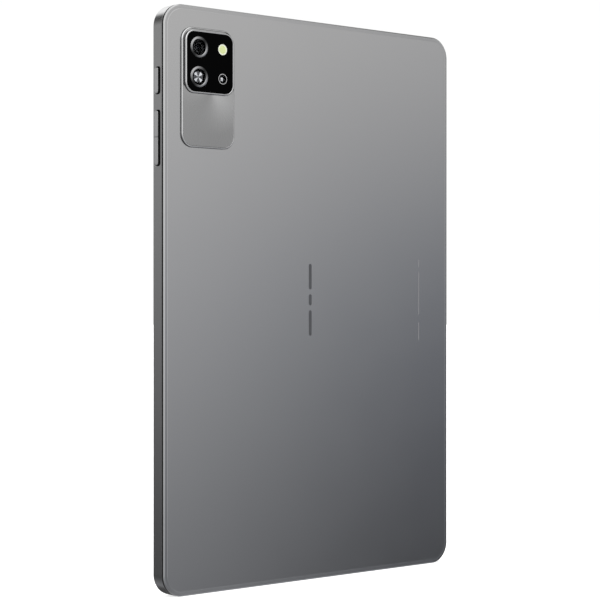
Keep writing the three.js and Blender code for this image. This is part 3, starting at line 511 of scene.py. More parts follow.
GLASS_LEDGE = 0.9  # how deep the recess for the screen's glass is, and how far in from the band's sides
MID_PLATE = (3.2, 3.8)  # front and back of the plate across the frame, behind the screen's face
PANEL_R = 1.2
PANEL_GAP = 0.35
SPEAKERS = ("top_right", "top_left", "bottom_right", "bottom_left")
SPEAKER_SLOTS = 7
SPEAKER_SLOT = (2.6, 1.4)
SPEAKER_PITCH = 3.6
SLOT_DEPTH = 2.4
BOARD_SCREWS = [(board, f"{board}_screw_{side}") for board in ("main_board", "usb_board")
                for side in ("left", "right")]
BOSS_R = 1.8
PILOT_R = 0.78
KEY_POCKET_Z = (184, 234)
FLEX_SLOT_Z = (204.6, 208.6)
FULCRUM_TIP = 80.8
FULCRUM_HALF = 0.8
KEY_GAP = 0.3
KEY_R = 1.2
WING = 1.2  # how far a key's wings reach past its cap
TRAY_SLOT_WIDTH = 2.6
TRAY_CAP_Y = 1.1  # from the tray's front to the middle of its cap
SOCKET_GAP = 0.2
SOCKET_R = 1.77
SEAM_STEP = 0.32  # how far the band's back edge stops short of the seam
SEAM_WIDTH = 1.2
FLARE = 0.06  # chamfer at the mouth of each opening in the band


def pocket(middle, size, axis, inner, outer, radius=None, steps=8):
    """A cutter for an opening in the band, from inside it to its outer face, with a chamfered mouth.
    Without a corner radius its ends are round."""
    sign = 1 if outer > inner else -1
    radius = radius or min(size) / 2 - 0.01
    profile = [(0, inner), (0, outer - sign * FLARE), (-2 * FLARE, outer + sign * FLARE)]
    sections = [(size[0] - 2 * inset, size[1] - 2 * inset, radius - inset, depth) for inset, depth in profile]
    # The opening's walls take painted shade; the chamfered mouth stays metal.
    return loft(sections, axis, middle, steps, shades=[1, 0])


def key_slot(node):
    """The slot of a key, which leaves a wide groove along the back of the key."""
    key = span(node)
    size = (key.size.y + 2 * KEY_GAP, key.size.z - 2 * WING + 2 * KEY_GAP)
    return pocket((key.middle.y, key.middle.z), size, "x", BAND.high.x - 3, BAND.high.x, KEY_R + 0.15)


def speaker_slots(name):
    mesh = span("speaker_mesh_" + name)
    top = mesh.middle.z > BAND.middle.z
    outer = BAND.high.z if top else BAND.low.z
    inner = outer - SLOT_DEPTH if top else outer + SLOT_DEPTH
    first = mesh.middle.x - (SPEAKER_SLOTS - 1) * SPEAKER_PITCH / 2
    return [pocket((first + i * SPEAKER_PITCH, BAND.middle.y), SPEAKER_SLOT, "z", inner, outer, steps=6)
            for i in range(SPEAKER_SLOTS)]


def speaker_port(name):
    """The passage from a speaker to the slots in the band."""
    mesh = span("speaker_mesh_" + name)
    speaker = span("speaker_" + name)
    reach = mesh.size.x / 2 + 0.2
    inner, outer = BAND.low.z + WALL, speaker.low.z - 0.3
    if mesh.middle.z > BAND.middle.z:
        inner, outer = speaker.high.z + 0.3, BAND.high.z - WALL
    return block(mesh.middle.x - reach, mesh.middle.x + reach, mesh.low.y - 0.15, BAND.high.y + 1,
                 inner, outer)


def frame_openings():
    """Cutters for every opening in the band's outer face."""
    tray, usb, mic = span("sim_tray"), span("usb_c_shell"), span("bottom_microphone")
    low = BAND.low
    slots = [bm for name in SPEAKERS for bm in speaker_slots(name)]
    return merged(
        key_slot("power_button"), key_slot("volume_rocker"),
        pocket((tray.low.y + TRAY_CAP_Y, tray.middle.z), (TRAY_SLOT_WIDTH, tray.size.z + 0.4),
               "x", low.x + 3, low.x),
        pocket((usb.middle.x, BAND.middle.y), (usb.size.x + 2 * SOCKET_GAP, usb.size.y + 2 * SOCKET_GAP),
               "z", 3, low.z, SOCKET_R, 16),
        pocket((mic.middle.x, BAND.middle.y), (1, 1), "z", 2.5, low.z, steps=6),
        *slots)


def frame_pockets(ledge, plate_front, plate_back):
    """Cutters for the rooms that the parts behind those openings sit in."""
    rocker, usb, mic = span("volume_rocker"), span("usb_c_shell"), span("bottom_microphone")
    camera, flex = span("front_camera"), span("display_flex")
    back = BAND.high.y + 1
    return [
        block(rocker.low.x - 3, BAND.high.x - WALL, BAND.low.y + 1.1, back, *KEY_POCKET_Z),
        block(usb.low.x - 1.1, usb.high.x + 1.1, usb.low.y - 0.5, back, WALL, usb.high.z + 0.8),
        block(mic.low.x + 0.6, mic.high.x - 0.6, mic.low.y - 1.1, back, WALL, 3),
        block(camera.low.x - 0.3, camera.high.x + 0.3, ledge - 0.5, camera.high.y + 0.4,
              camera.low.z - 0.5, camera.high.z + 0.5),
        block(flex.low.x - 0.5, flex.high.x + 0.5, plate_front - 0.1, plate_back + 0.1, *FLEX_SLOT_Z),
        *[speaker_port(name) for name in SPEAKERS],
    ]


def frame_body():
    low, high = BAND.low, BAND.high
    ledge, plate_front, plate_back = (GLASS.low.y + depth for depth in (GLASS_LEDGE, *MID_PLATE))
    edge = high.y - SEAM_STEP
    front = [(0.3, low.y)] + arc(0.3, low.y + 0.3, -0.3, 90, 0)
    back = arc(0.06, edge - 0.06, -0.06, 0, -90, 3) + [(0.3, edge), (0.3, high.y)]
    # The step at the seam and the recessed edge behind it take painted shade.
    shades = [0] * (len(front) + len(back) - 3) + [1, 1]
    slab = loft(rings_of(BAND, 0, CORNER_R, front + back), "y", CENTRE, 32, shades=shades)

    def well(place, grow, radius, y0, y1, steps=24):
        return loft(rings_of(place, grow, radius, [(0, y0), (0, y1)]), "y", CENTRE, steps, shades=[2])

    glass_well = well(BAND, -2 * GLASS_LEDGE, CORNER_R - GLASS_LEDGE, low.y - 1, ledge)
    panel_well = well(PANEL, 2 * PANEL_GAP, PANEL_R + PANEL_GAP, ledge - 0.5, plate_front, 6)
    back_well = well(BAND, -2 * WALL, CORNER_R - WALL, plate_back, high.y + 1)
    bosses, pilots = [], []
    for board, node in BOARD_SCREWS:
        screw = span(node)
        under = span(board).low.y
        boss = [(BOSS_R, plate_back - 0.1), (BOSS_R, under - 0.15), (BOSS_R - 0.1, under - 0.05)]
        pilot = [(PILOT_R, plate_front + 0.15), (PILOT_R, under + 1)]
        bosses.append(turned(boss, "y", screw.centre, 32))
        pilots.append(turned(pilot, "y", screw.centre, 24))
    rocker = span("volume_rocker")
    fulcrum = block(rocker.low.x - 4, FULCRUM_TIP, rocker.low.y + 0.7, rocker.low.y + 2.3,
                    rocker.middle.z - FULCRUM_HALF, rocker.middle.z + FULCRUM_HALF, 0.15)
    frame_piece = as_object("frame_body", slab, [metal, painted_shade_dark, machined])
    cut(frame_piece, glass_well, panel_well, back_well)
    join(frame_piece, *bosses)
    cut(frame_piece, *frame_pockets(ledge, plate_front, plate_back))
    cut(frame_piece, frame_openings(), merged(*pilots))
    join(frame_piece, fulcrum)
    finished(frame_piece, ["mid_frame"])


def seam():
    gasket = span("seam_gasket")
    low, high = gasket.low.y, gasket.high.y
    proud = 0.32  # how far the visible bead stands out past the gasket behind it
    profile = [(-proud, low + 0.06), (-proud - 0.04, gasket.middle.y), (-proud, high - 0.06),
               (0, high), (SEAM_WIDTH, high), (SEAM_WIDTH, low), (0, low)]
    bm = loft(rings_of(gasket, 0, CORNER_R - 0.5, profile), "y", CENTRE, 24, closed=True)
    piece("seam_ring", bm, [seam_rubber], ["seam_gasket"])


# ---------------- back cover

ISLAND_R = 5.8
WINDOW_R = 4
COVER_EDGE = 0.5
CLIP_Z = (30, 72, 114, 156)
CLIP_HALF = 4


def back_cover():
    top = COVER.high.y
    rim = top - COVER_EDGE
    profile = [
        (1.9, rim - 0.3), (1.9, rim), (0.15, rim), (0, rim + 0.12),
        (0, top - 0.31), (0.03, top - 0.27),
        (0.60, top - 0.03), (0.68, top - 0.02),
        (1.94, top - 0.055), (2.02, top - 0.015), (2.07, top),
    ]
    # The underside at the rim and the lower bevel beside the seam take painted shade.
    shades = [0, 2, 2, 0, 1, 1, 1, 0, 1, 1]
    skin = loft(rings_of(COVER, 0, CORNER_R - 0.05, profile), "y", CENTRE, 32, shades=shades)
    cover = as_object("back_cover", skin, [metal, edge_metal, painted_shade_dark])
    seat = rings_of(ISLAND, 0.3, ISLAND_R + 0.15, [
        (0, ISLAND.low.y - 0.05), (0, top - 0.08), (-0.13, top + 0.06)])
    opening = rings(WINDOW.size.x - 0.4, WINDOW.size.z - 1, 2, [(0, rim - 1), (0, top + 1)])
    clips = []
    for z in CLIP_Z:
        for side in (-1, 1):
            outer = CENTRE[0] + side * (BAND.size.x / 2 - WALL - 0.25)
            inner = outer - side * 0.6
            clips.append(block(min(inner, outer), max(inner, outer), COVER.low.y, rim - 0.2,
                               z - CLIP_HALF, z + CLIP_HALF, 0.1))
    join(cover, merged(*clips))
    cut(cover, loft(seat, "y", ISLAND.centre, 24), loft(opening, "y", WINDOW.centre, 8))
    finished(cover, ["rear_cover"])


# ---------------- display

def cover_glass():
    front, back = GLASS.low.y, GLASS.high.y
    profile = [(0.1, back), (0, back - 0.1), (0, front + 0.32)] + arc(0.4, front + 0.4, -0.4, 12, 90, 6)
    profile = [(max(inset, 0), y) for inset, y in profile]
    sheet = loft(rings_of(GLASS, 0, CORNER_R - 1, profile), "y", CENTRE, 32)
    glass = as_object("screen", sheet, [screen])
    centre = span("front_camera").centre
    cut(glass, turned(
        [(1.35, front + 0.06), (1.35, front + 0.02), (1.4, front - 0.1)], "y", centre, 48))
    finished(glass, ["cover_glass"])
    lens = turned([(1.32, front + 0.1), (1.32, front + 0.03), (1.1, front + 0.03), (1.05, front + 0.045),
                   (0.75, front + 0.045), (0.55, front + 0.035), (0.3, front + 0.03), (0.01, front + 0.028)],
                  "y", centre, 48, shades=[0, 0, 0, 0, 1, 1, 1])
    piece("front_camera_window", lens, [mask_black, coated_glass])


# ---------------- camera island

RIM = 0.5
MODULE_RIM = 0.7
LENS_HOLE_R = 4.2
FLASH_HOLE_R = 2.2
PLATE_END = 11  # how far below the window's middle the brushed plate ends
MAIN = span("main_lens_ring")
SECOND = span("second_lens_ring")
SENSOR = span("sensor_ring")
FLASH = span("flash_window")
LENS_RING_R = MAIN.size.x / 2
LENS_R = span("main_lens_cover").size.x / 2
SENSOR_RING_R = SENSOR.size.x / 2
SENSOR_R = span("sensor_lens").size.x / 2


def island():
    base, top = ISLAND.low.y, PLATE.high.y + 0.05
    floor = PLATE.low.y - 0.03
    middle = ISLAND.centre
    edge = [(0, base)] + arc(0.3, top - 0.3, -0.3, 0, -90, 5)
    shell = loft(rings_of(ISLAND, 0, ISLAND_R, edge), "y", middle, 28, shades=[0, 1, 1, 1, 1, 1])
    body = as_object("island_body", shell, [metal, island_metal, mask_black, groove_painted_shade])
    inner = rings_of(ISLAND, -2 * RIM, ISLAND_R - RIM, [(0, floor), (0, top - 0.06), (-0.1, top + 0.04)])
    # The groove's inner wall takes painted shade.
    cut(body, loft(inner, "y", middle, 28, shades=[3, 1]))
    high = ISLAND.high.y
    window = WINDOW.centre
    rim = [(0, floor - 0.2), (0, high - 0.42), (0.04, high - 0.3), (0.16, high - 0.08), (0.3, high)]
    raised = rings_of(WINDOW, 2 * MODULE_RIM, WINDOW_R + MODULE_RIM, rim)
    # The window frame's outer wall, down in the groove, takes painted shade.
    join(body, loft(raised, "y", window, 28, shades=[3, 1, 1, 1]))
    seat = rings_of(WINDOW, 0.1, WINDOW_R + 0.05, [
        (0, WINDOW.low.y - 0.05), (0, high - 0.1), (-0.16, high + 0.06)])
    holes = [turned([(radius, base - 1), (radius, high)], "y", place.centre, 48, shades=[2])
             for radius, place in ((LENS_HOLE_R, MAIN), (LENS_HOLE_R, SECOND), (FLASH_HOLE_R, FLASH),
                                   (SENSOR_R, SENSOR))]
    cut(body, loft(seat, "y", window, 28, shades=[1, 1]), merged(*holes))
    finished(body, ["camera_island"])


def deco_plate():
    """The brushed plate below the window, which ends behind the window's frame."""
    base, top = PLATE.low.y, PLATE.high.y
    middle = ISLAND.centre
    inset = RIM + 0.05
    sheet = rings_of(ISLAND, -2 * inset, ISLAND_R - inset, [(0, base), (0, top - 0.06), (0.06, top)])
    plate = as_object("brushed_plate", loft(sheet, "y", middle, 28), [plate_metal])
    window = WINDOW.centre
    gap = MODULE_RIM + 0.1
    hole = rings_of(WINDOW, 2 * gap, WINDOW_R + gap, [(0, base - 1), (0, top + 1)])
    above = block(ISLAND.low.x - 1, ISLAND.high.x + 1, base - 1, top + 1,
                  window[1] - PLATE_END, ISLAND.high.z + 1)
    cut(plate, loft(hole, "y", window, 28), above)
    finished(plate, ["deco_plate"])


def window_glass():
    base, top = WINDOW.low.y, WINDOW.high.y
    middle = WINDOW.centre
    pane = rings_of(WINDOW, 0, WINDOW_R, [(0, base), (0, top - 0.12), (0.035, top - 0.035), (0.12, top)])
    glass = as_object("island_window", loft(pane, "y", middle, 28), [window_black])
    holes = [turned([(radius + 0.03, base - 1), (radius + 0.03, top + 1)], "y", place.centre, 96)
             for radius, place in ((LENS_RING_R, MAIN), (LENS_RING_R, SECOND),
                                   (SENSOR_RING_R, SENSOR), (FLASH.size.x / 2, FLASH))]
    cut(glass, merged(*holes))
    finished(glass, ["camera_window"])


def lens_ring(name, place, node):
    """A spun ring with a flat face, rounded at its outer edge."""
    base, top = place.low.y, place.high.y
    outer, inner = LENS_RING_R, LENS_R + 0.05
    crest = outer - 0.2
    profile = [(outer, base), (outer, top - 0.16), (outer - 0.06, top - 0.05), (crest, top),
               (inner + 0.12, top - 0.01), (inner, top - 0.14), (inner, base)]
    # The ring's colour carries a painted highlight: bright lobes on two opposite sides, dark between them.
    spun = radial_brushed_painted_sheen(name + "_metal", (0.22, 0.221, 0.225), (place.middle.x, 0, place.middle.z), 0.22,
                          (1.0, 2.0), (0.15, 2.3))
    piece(name, turned(profile, "y", place.centre, 96, closed=True), [spun], [node])


def lens_cover(name, node, chamfer=0.08, steps=96):
    cover = span(node)
    radius, top = cover.size.x / 2, cover.high.y
    profile = [(radius, cover.low.y), (radius, top - chamfer), (radius - chamfer, top), (0.01, top)]
    piece(name, turned(profile, "y", cover.centre, steps), [clear_glass], [node])


def lens_mask(name, place, aperture, trim):
    """The black ring printed under a lens cover, with a thin stepped rim round its aperture."""
    base = WINDOW.low.y
    profile = [(LENS_R, base - 0.2), (LENS_R, base), (aperture + 0.14, base), (aperture + 0.1, base + 0.04),
               (aperture, base + 0.04), (aperture, base - 0.2)]
    bm = turned(profile, "y", place.centre, 96, closed=True, shades=[0, 0, 1, 1, 0, 0])
    piece(name, bm, [mask_black, trim])


def focus_barrel():
    barrel = span("focus_barrel")
    low, top = barrel.low.y, barrel.high.y
    profile = [
        (0.01, low), (3.0, low), (3.1, low + 0.1), (3.1, top - 0.12), (2.98, top),
        (2.55, top), (2.4, top - 0.35), (1.9, top - 0.4), (1.1, top - 0.65), (0.8, top - 0.7),
    ]
    dome = [(0.75 * math.cos(math.radians(a)), top - 0.7 + 0.3 * math.sin(math.radians(a)))
            for a in range(0, 90, 15)]
    shades = [0] * (len(profile) - 1) + [1] * len(dome)
    bm = turned(profile + dome + [(0.01, top - 0.4)], "y", barrel.centre, 72, shades=shades + [1])
    piece("lens_barrel", bm, [mask_black, coated_glass], ["focus_barrel"], "focus_carrier")


def fan(bm, centre, base, radius, start, width, lift):
    """One blade of the disc in the second lens, a thin sector with its far edge lifted."""
    x, z = centre
    points = [(0.12, start + width / 2)]
    points += [(radius, start + width * (0.06 + 0.88 * i / 6)) for i in range(7)]
    lower = [bm.verts.new((x + r * math.cos(a), base, z + r * math.sin(a))) for r, a in points]
    upper = [bm.verts.new((x + r * math.cos(a), base + 0.06 + lift * i / len(points), z + r * math.sin(a)))
             for i, (r, a) in enumerate(points)]
    bm.faces.new(lower)
    bm.faces.new(upper)
    for i in range(len(points)):
        j = (i + 1) % len(points)
        bm.faces.new((lower[i], lower[j], upper[j], upper[i]))


def sector_disc():
    """The disc seen in the second lens: sectors of bright and dark metal by turns, a painted highlight
    pattern of a spun disc, in black gaps.
    """
    blades, radius = 4, 2.45
    base = WINDOW.low.y - 0.12
    # Bright and dark sectors paint the highlights and shade of spun metal.
    for name, turn, lift, material in (("light", 0.5, 0.06, bright_ring), ("dark", 1.5, 0.04, ring_metal)):
        bm = bmesh.new()
        for i in range(blades):
            start = 2 * math.pi * (i + turn / 2) / blades
            fan(bm, SECOND.centre, base, radius, start, math.pi / blades, lift)
        bmesh.ops.recalc_face_normals(bm, faces=bm.faces)
        piece(f"second_lens_{name}_sectors", bm, [material])
    back = [(2.6, base - 0.3), (2.6, base - 0.05), (0.01, base - 0.05)]
    piece("second_lens_backing", turned(back, "y", SECOND.centre, 72), [mask_black])


def sensor():
    base, top = SENSOR.low.y, SENSOR.high.y
    outer, inner = SENSOR_RING_R, SENSOR_R + 0.02
    crest = (outer + inner) / 2
    profile = [(outer, base), (outer, top - 0.08), (crest + 0.1, top), (crest - 0.1, top), (inner, top - 0.2),
               (inner, base)]
    bm = turned(profile, "y", SENSOR.centre, 72, closed=True, shades=[1, 1, 0, 1, 1, 1])
    piece("sensor_bezel", bm, [bright_ring, mask_black], ["sensor_ring"])
    lens_cover("sensor_window", "sensor_lens", 0.06, 64)
    x, z = SENSOR.centre
    half = 0.62
    floor = span("sensor_lens").low.y - 0.12
    mask = [(SENSOR_R - 0.02, floor - 0.1), (SENSOR_R - 0.02, floor), (0.01, floor)]
    piece("sensor_mask", turned(mask, "y", (x, z), 64), [mask_black])
    die = merged(
        block(x - half, x + half, floor, floor + 0.1, z - 0.2, z + 0.72, 0.02),
        block(x - half, x - 0.1, floor, floor + 0.1, z - 0.8, z - 0.32, 0.02),
        block(x + 0.1, x + half, floor, floor + 0.1, z - 0.8, z - 0.32, 0.02))
    piece("sensor_die", die, [bright_ring])


def flash():
    base, top = FLASH.low.y, FLASH.high.y
    radius = FLASH.size.x / 2
    profile = [(radius, base), (radius, top - 0.08), (radius - 0.06, top - 0.02)]
    shades = [1, 1]
    ridges = 9
    for i in range(ridges):
        at = radius - 0.2 - i * (radius - 0.3) / ridges
        profile += [(at, top), (at - 0.16, top - 0.045)]
        shades += [1 if i < 2 else 0] * 2
    bm = turned(profile + [(0.01, top - 0.02)], "y", FLASH.centre, 72, shades=shades + [0])
    piece("flash_lens", bm, [flash_yellow, flash_edge], ["flash_window"])


# ---------------- inside

INSIDE = {
    "black_adhesive": foam_black,
    "panel_glass": panel_dark,
    "white_plastic": backlight_white,
    "flex_film": flex_across,
    "black_plastic": dark_plastic,
    "can_steel": can_steel,
    "board_laminate": green_board,
    "chip_resin": chip_black,
    "battery_pouch": battery_film,
    "mesh_cloth": speaker_weave,
    "flash_diffuser": flash_edge,
}
UPRIGHT_FLEXES = ("main_flex", "display_flex")

# Each board's seed, and where its small parts stand, as (x0, x1, z0, z1) from the board's low corner.
SMALL_PARTS = {
    "main_board": (3, [(21.5, 47, 6, 31), (76.5, 83.5, 6, 30), (113, 137, 6, 28)]),
    "usb_board": (5, [(1, 15, 1, 7), (33, 47, 1, 7), (7, 15, 8, 20), (33, 41, 8, 20)]),
}
PART_PITCH = (3.4, 2.8)
FILLED = 0.8  # the share of places that hold a part
CHIPS = 0.2  # the share of those parts that are chips


def screw(node):
    """A machine screw with a cut thread and a cross in its head."""
    place = span(node)
    x, z = place.centre
    low, top = place.low.y, place.high.y
    head_r = place.size.x / 2
    head_low = top - 0.5
    pitch = 0.25
    turns = int((head_low - low - 0.3) / pitch)
    thread = [point for i in range(turns)
              for point in ((0.6, low + 0.3 + i * pitch), (0.74, low + 0.3 + (i + 0.5) * pitch))]
    profile = [(0.01, low), (0.5, low)] + thread + [(0.6, head_low), (head_r, head_low), (head_r, top - 0.12)]
    profile += [(head_r - 0.12, top), (0.01, top)]
    body = as_object(node + "_visual", turned(profile, "y", (x, z), 32), [can_steel])
    half, deep = 0.13, top - 0.32
    cut(body, block(x - 0.75, x + 0.75, deep, top + 1, z - half, z + half),
        block(x - half, x + half, deep, top + 1, z - 0.75, z + 0.75))
    finished(body, [node])


def small_parts(board, seed, areas):
    """Small chips and capacitors soldered on the back of a board."""
    place = span(board)
    rng = random.Random(seed)
    chips, capacitors, ends = [], [], []
    for x0, x1, z0, z1 in areas:
        columns, rows = int((x1 - x0) / PART_PITCH[0]), int((z1 - z0) / PART_PITCH[1])
        for column in range(columns):
            for row in range(rows):
                x = place.low.x + x0 + (column + 0.5) * PART_PITCH[0]
                z = place.low.z + z0 + (row + 0.5) * PART_PITCH[1]
                kind = rng.random()
                if kind > FILLED:
                    continue
                base = place.high.y + 0.02
                if kind < CHIPS * FILLED:
                    half = rng.choice((0.8, 1.0, 1.3))
                    chips.append(block(x - half, x + half, base, base + 0.6,
                                       z - half * 0.8, z + half * 0.8, 0.06))
                    continue
                half = rng.choice((0.3, 0.5))
                capacitors.append(block(x - half, x + half, base, base + 0.45, z - 0.28, z + 0.28, 0.04))
                for side in (-1, 1):
                    end = x + side * half
                    ends.append(block(end - 0.12, end + 0.12, base - 0.02, base + 0.47,
                                      z - 0.3, z + 0.3, 0.03))
    piece(board + "_chips", merged(*chips), [chip_black])
    piece(board + "_capacitors", merged(*capacitors), [capacitor_tan])
    piece(board + "_solder_ends", merged(*ends), [can_steel])


def inside():
    """Screws and small components, then materials and soft edges for the CAD nodes that are still shown."""
    for _, node in BOARD_SCREWS:
        screw(node)
    for board, (seed, areas) in SMALL_PARTS.items():
        small_parts(board, seed, areas)
    slots = {part["node"]: part["material_slot"] for part in frame["record"]["subparts"]}
    for name, node in frame["nodes"].items():
        if node.hide_render:
            continue
        material = flex_upright if name in UPRIGHT_FLEXES else INSIDE[slots[name]]
        node.data.materials.clear()
        node.data.materials.append(material)
        thinnest = min(span(name).size)
        smooth(node)
        bevel = node.modifiers.new("soft_edge", "BEVEL")
        bevel.width = min(0.15, thinnest / 5) * MM
        bevel.segments = 2
        bevel.limit_method = "ANGLE"
        bevel.angle_limit = math.radians(40)


# ---------------- marks on the back

DARK_MARKS = SimpleNamespace(x=2.8, width=1.7, spans=((112.6, 124.4), (126.6, 131.8), (134.0, 145.8)))
FAINT_MARKS = SimpleNamespace(x=-65.55, width=0.45, spans=((109.5, 118.1), (121.9, 142.6), (145.05, 149.0)))


def marks(name, row, material):
    """Plain upright bars where such a tablet carries its printing, with no lettering."""
    top = COVER.high.y
    profile = [(0, top - 0.05), (0, top + 0.008), (0.02, top + 0.015)]
    for number, (z0, z1) in enumerate(row.spans):
        bar = rings(row.width, z1 - z0, row.width / 2 - 0.01, profile)
        bm = loft(bar, "y", (CENTRE[0] + row.x, (z0 + z1) / 2), 8)
        piece(f"{name}_{number + 1}", bm, [material])


# ---------------- keys

CAP_WIDTH = 2.7
WING_DEPTH = 0.65
NUB_R = 0.8
NOTCH_LENGTH = 1.9
NOTCH_DEPTH = 0.1
ARM = 9  # from the rocker's middle to each of its outer nubs
SWITCH_NUB_END = 81.3
PIVOT_NUB_END = 80.9
FULCRUM_Y = 1.5  # from the rocker's front to its nubs and the fulcrum's middle


def key_cap(place, flange):
    """A key's cap: a flank in the slot with painted shade, and a metal face with a fine edge."""
    top = place.high.x
    edge = [(0, flange - 0.2), (0, top - 0.09)]
    edge += arc(0.07, top - 0.09, -0.07, 0, -75, 4)[1:] + [(0.5, top - 0.005), (1.0, top)]
    # The flank takes painted shade.
    shades = [1] + [0] * (len(edge) - 2)
    middle = (place.low.y + CAP_WIDTH / 2, place.middle.z)
    return loft(rings(CAP_WIDTH, place.size.z - 2 * WING, KEY_R, edge), "x", middle, 12, shades=shades)


def side_key(name, node, body, play, nubs, cuts=()):
    """A key: its cap, the wings that hold it behind the band's wall, and nubs of (y, z, reach)."""
    place = span(node)
    flange = BAND.high.x - WALL - play
    key = as_object(name, key_cap(place, flange), [key_metal, painted_shade_dark])
    cut(key, *cuts)
    low, high = place.low, place.high
    # The wings take painted shade as well.
    wings = block(flange - WING_DEPTH, flange, low.y, high.y, low.z, high.z, 0.1, shade=1)
    tips = [turned([(NUB_R, reach), (NUB_R, flange - 0.5)], "x", (y, z), 24) for y, z, reach in nubs]
    join(key, wings, *tips)
    finished(key, [node], body)


def power_key():
    place = span("power_button")
    nub = (place.low.y + CAP_WIDTH / 2, place.middle.z, place.low.x)
    side_key("power_key_cap", "power_button", "power_key", 0.1, [nub])


def volume_key():
    place = span("volume_rocker")
    radius = (NOTCH_LENGTH ** 2 / 4 + NOTCH_DEPTH ** 2) / 2 / NOTCH_DEPTH
    dip = turned([(radius, place.low.y - 2), (radius, place.high.y + 2)], "y",
                 (place.high.x + radius - NOTCH_DEPTH, place.middle.z), 160)
    nubs = [(place.low.y + FULCRUM_Y, place.middle.z + at, reach)
            for at, reach in ((-ARM, SWITCH_NUB_END), (0, PIVOT_NUB_END), (ARM, SWITCH_NUB_END))]
    side_key("volume_key_cap", "volume_rocker", "volume_key", 0.42, nubs, [dip])


# ---------------- card tray and socket

CARD_WINDOW = (8.9, 11.6)
CARD_PITCH = 10
CONTACTS = 12
CONTACT_PITCH = 0.5


def card_tray():
    """The tray's cap, and its blade with a window for each of two cards."""
    tray = span("sim_tray")
    outer, middle_z = tray.low.x, tray.middle.z
    cap_y = tray.low.y + TRAY_CAP_Y
    edge = [(0.08, outer), (0, outer + 0.08), (0, outer + 1.4), (0.1, outer + 1.5)]
    cap = loft(rings(2.2, tray.size.z, 1.09, edge), "x", (cap_y, middle_z), 14)
    body = as_object("tray_body", cap, [metal])
    blade = block(outer + 1.3, tray.high.x, tray.high.y - 0.8, tray.high.y,
                  middle_z - 6.5, middle_z + 6.5, 0.1)
    join(body, blade)
    through = rings(*CARD_WINDOW, 0.6, [(0, cap_y - 1), (0, tray.high.y + 1)])
    first = outer + 3.82 + CARD_WINDOW[0] / 2
    windows = [loft(through, "y", (first + i * CARD_PITCH, middle_z), 6) for i in range(2)]
    pin_hole = [(0.5, outer - 0.1), (0.42, outer + 0.08), (0.42, outer + 2)]
    pin = turned(pin_hole, "x", (cap_y - 0.4, middle_z + 5.6), 24)
    cut(body, merged(*windows), pin)
    finished(body, ["sim_tray"], "card_tray")


def socket():
    shell = span("usb_c_shell")
    mouth, back = shell.low.z, shell.high.z
    profile = [(0.06, mouth), (0, mouth + 0.06), (0, back), (0.8, back), (0.8, back - 0.8),
               (0.3, back - 0.8), (0.3, mouth + 0.08), (0.22, mouth)]
    middle = (shell.middle.x, shell.middle.y)
    bm = loft(rings(shell.size.x, shell.size.y, shell.size.y / 2 - 0.005, profile), "z", middle, 20)
    piece("socket_shell", bm, [can_steel], ["usb_c_shell"])
    tongue = span("usb_c_tongue")
    low, high = tongue.low, tongue.high
    core = block(low.x, high.x, low.y, high.y, low.z, high.z, 0.12)
    piece("socket_tongue", core, [dark_plastic], ["usb_c_tongue"])
    pads = []
    for i in range(CONTACTS):
        x = tongue.middle.x + (i - (CONTACTS - 1) / 2) * CONTACT_PITCH
        for y in (low.y, high.y):
            pads.append(block(x - 0.12, x + 0.12, y - 0.02, y + 0.02, low.z + 0.5, low.z + 3.5))
    piece("socket_contacts", merged(*pads), [gold])


seam()
frame_body()
back_cover()
cover_glass()
island()
deco_plate()
window_glass()
lens_ring("main_ring", MAIN, "main_lens_ring")
lens_ring("second_ring", SECOND, "second_lens_ring")
lens_cover("main_cover", "main_lens_cover")
lens_cover("second_cover", "second_lens_cover")
lens_mask("main_mask", MAIN, 1.75, faint_trim)
lens_mask("second_mask", SECOND, 2.6, mask_black)
focus_barrel()
sector_disc()
sensor()
flash()
marks("back_mark", DARK_MARKS, print_dark)
marks("faint_mark", FAINT_MARKS, print_faint)
power_key()
volume_key()
card_tray()
socket()
inside()


# ---------------- camera, floor, lights

LENS = 101.55  # millimetres, on a sensor 36 mm wide
CAMERA_TURN = math.radians(39)  # from square on to the back, towards the keys' side
CAMERA_DISTANCE = 783.8
CAMERA_SIDE = 6.9  # how far the camera stands to the side of the line to its aim
AIM_RISE = 0.35
WHITE_LIGHT = (1, 1, 1, 1)


def make_camera():
    data = bpy.data.cameras.new("camera")
    data.sensor_width = 36
    data.lens = LENS
    data.clip_start = 0.05
    camera = bpy.data.objects.new("camera", data)
    bpy.context.scene.collection.objects.link(camera)
    forward = Vector((-math.sin(CAMERA_TURN), -math.cos(CAMERA_TURN), 0))
    side = Vector((-math.cos(CAMERA_TURN), math.sin(CAMERA_TURN), 0))
    aim = Vector((BAND.middle.x, COVER.high.y, BAND.middle.z + AIM_RISE))
    camera.location = (aim - forward * CAMERA_DISTANCE - side * CAMERA_SIDE) * MM
    camera.rotation_euler = forward.to_track_quat("-Z", "Y").to_euler()
    bpy.context.scene.camera = camera


def make_floor():
    bm = bmesh.new()
    bmesh.ops.create_circle(bm, cap_ends=True, radius=8 / MM, segments=96)
    white = Nodes("floor_white", (0.9, 0.9, 0.9), 0.6, Emission_Color=WHITE_LIGHT, Emission_Strength=0.62)
    floor = as_object("floor", bm, [white.material])
    floor.visible_glossy = False


def make_backdrop():
    """A white dome that only the camera sees."""
    bm = bmesh.new()
    bmesh.ops.create_uvsphere(bm, u_segments=48, v_segments=24, radius=9 / MM)
    white = Nodes("backdrop_white", (0, 0, 0), 1.0, Emission_Color=WHITE_LIGHT, Emission_Strength=1.0)
    dome = as_object("backdrop", bm, [white.material])
    dome.visible_glossy = False
    dome.visible_diffuse = False
    dome.visible_shadow = False
    dome.visible_transmission = False


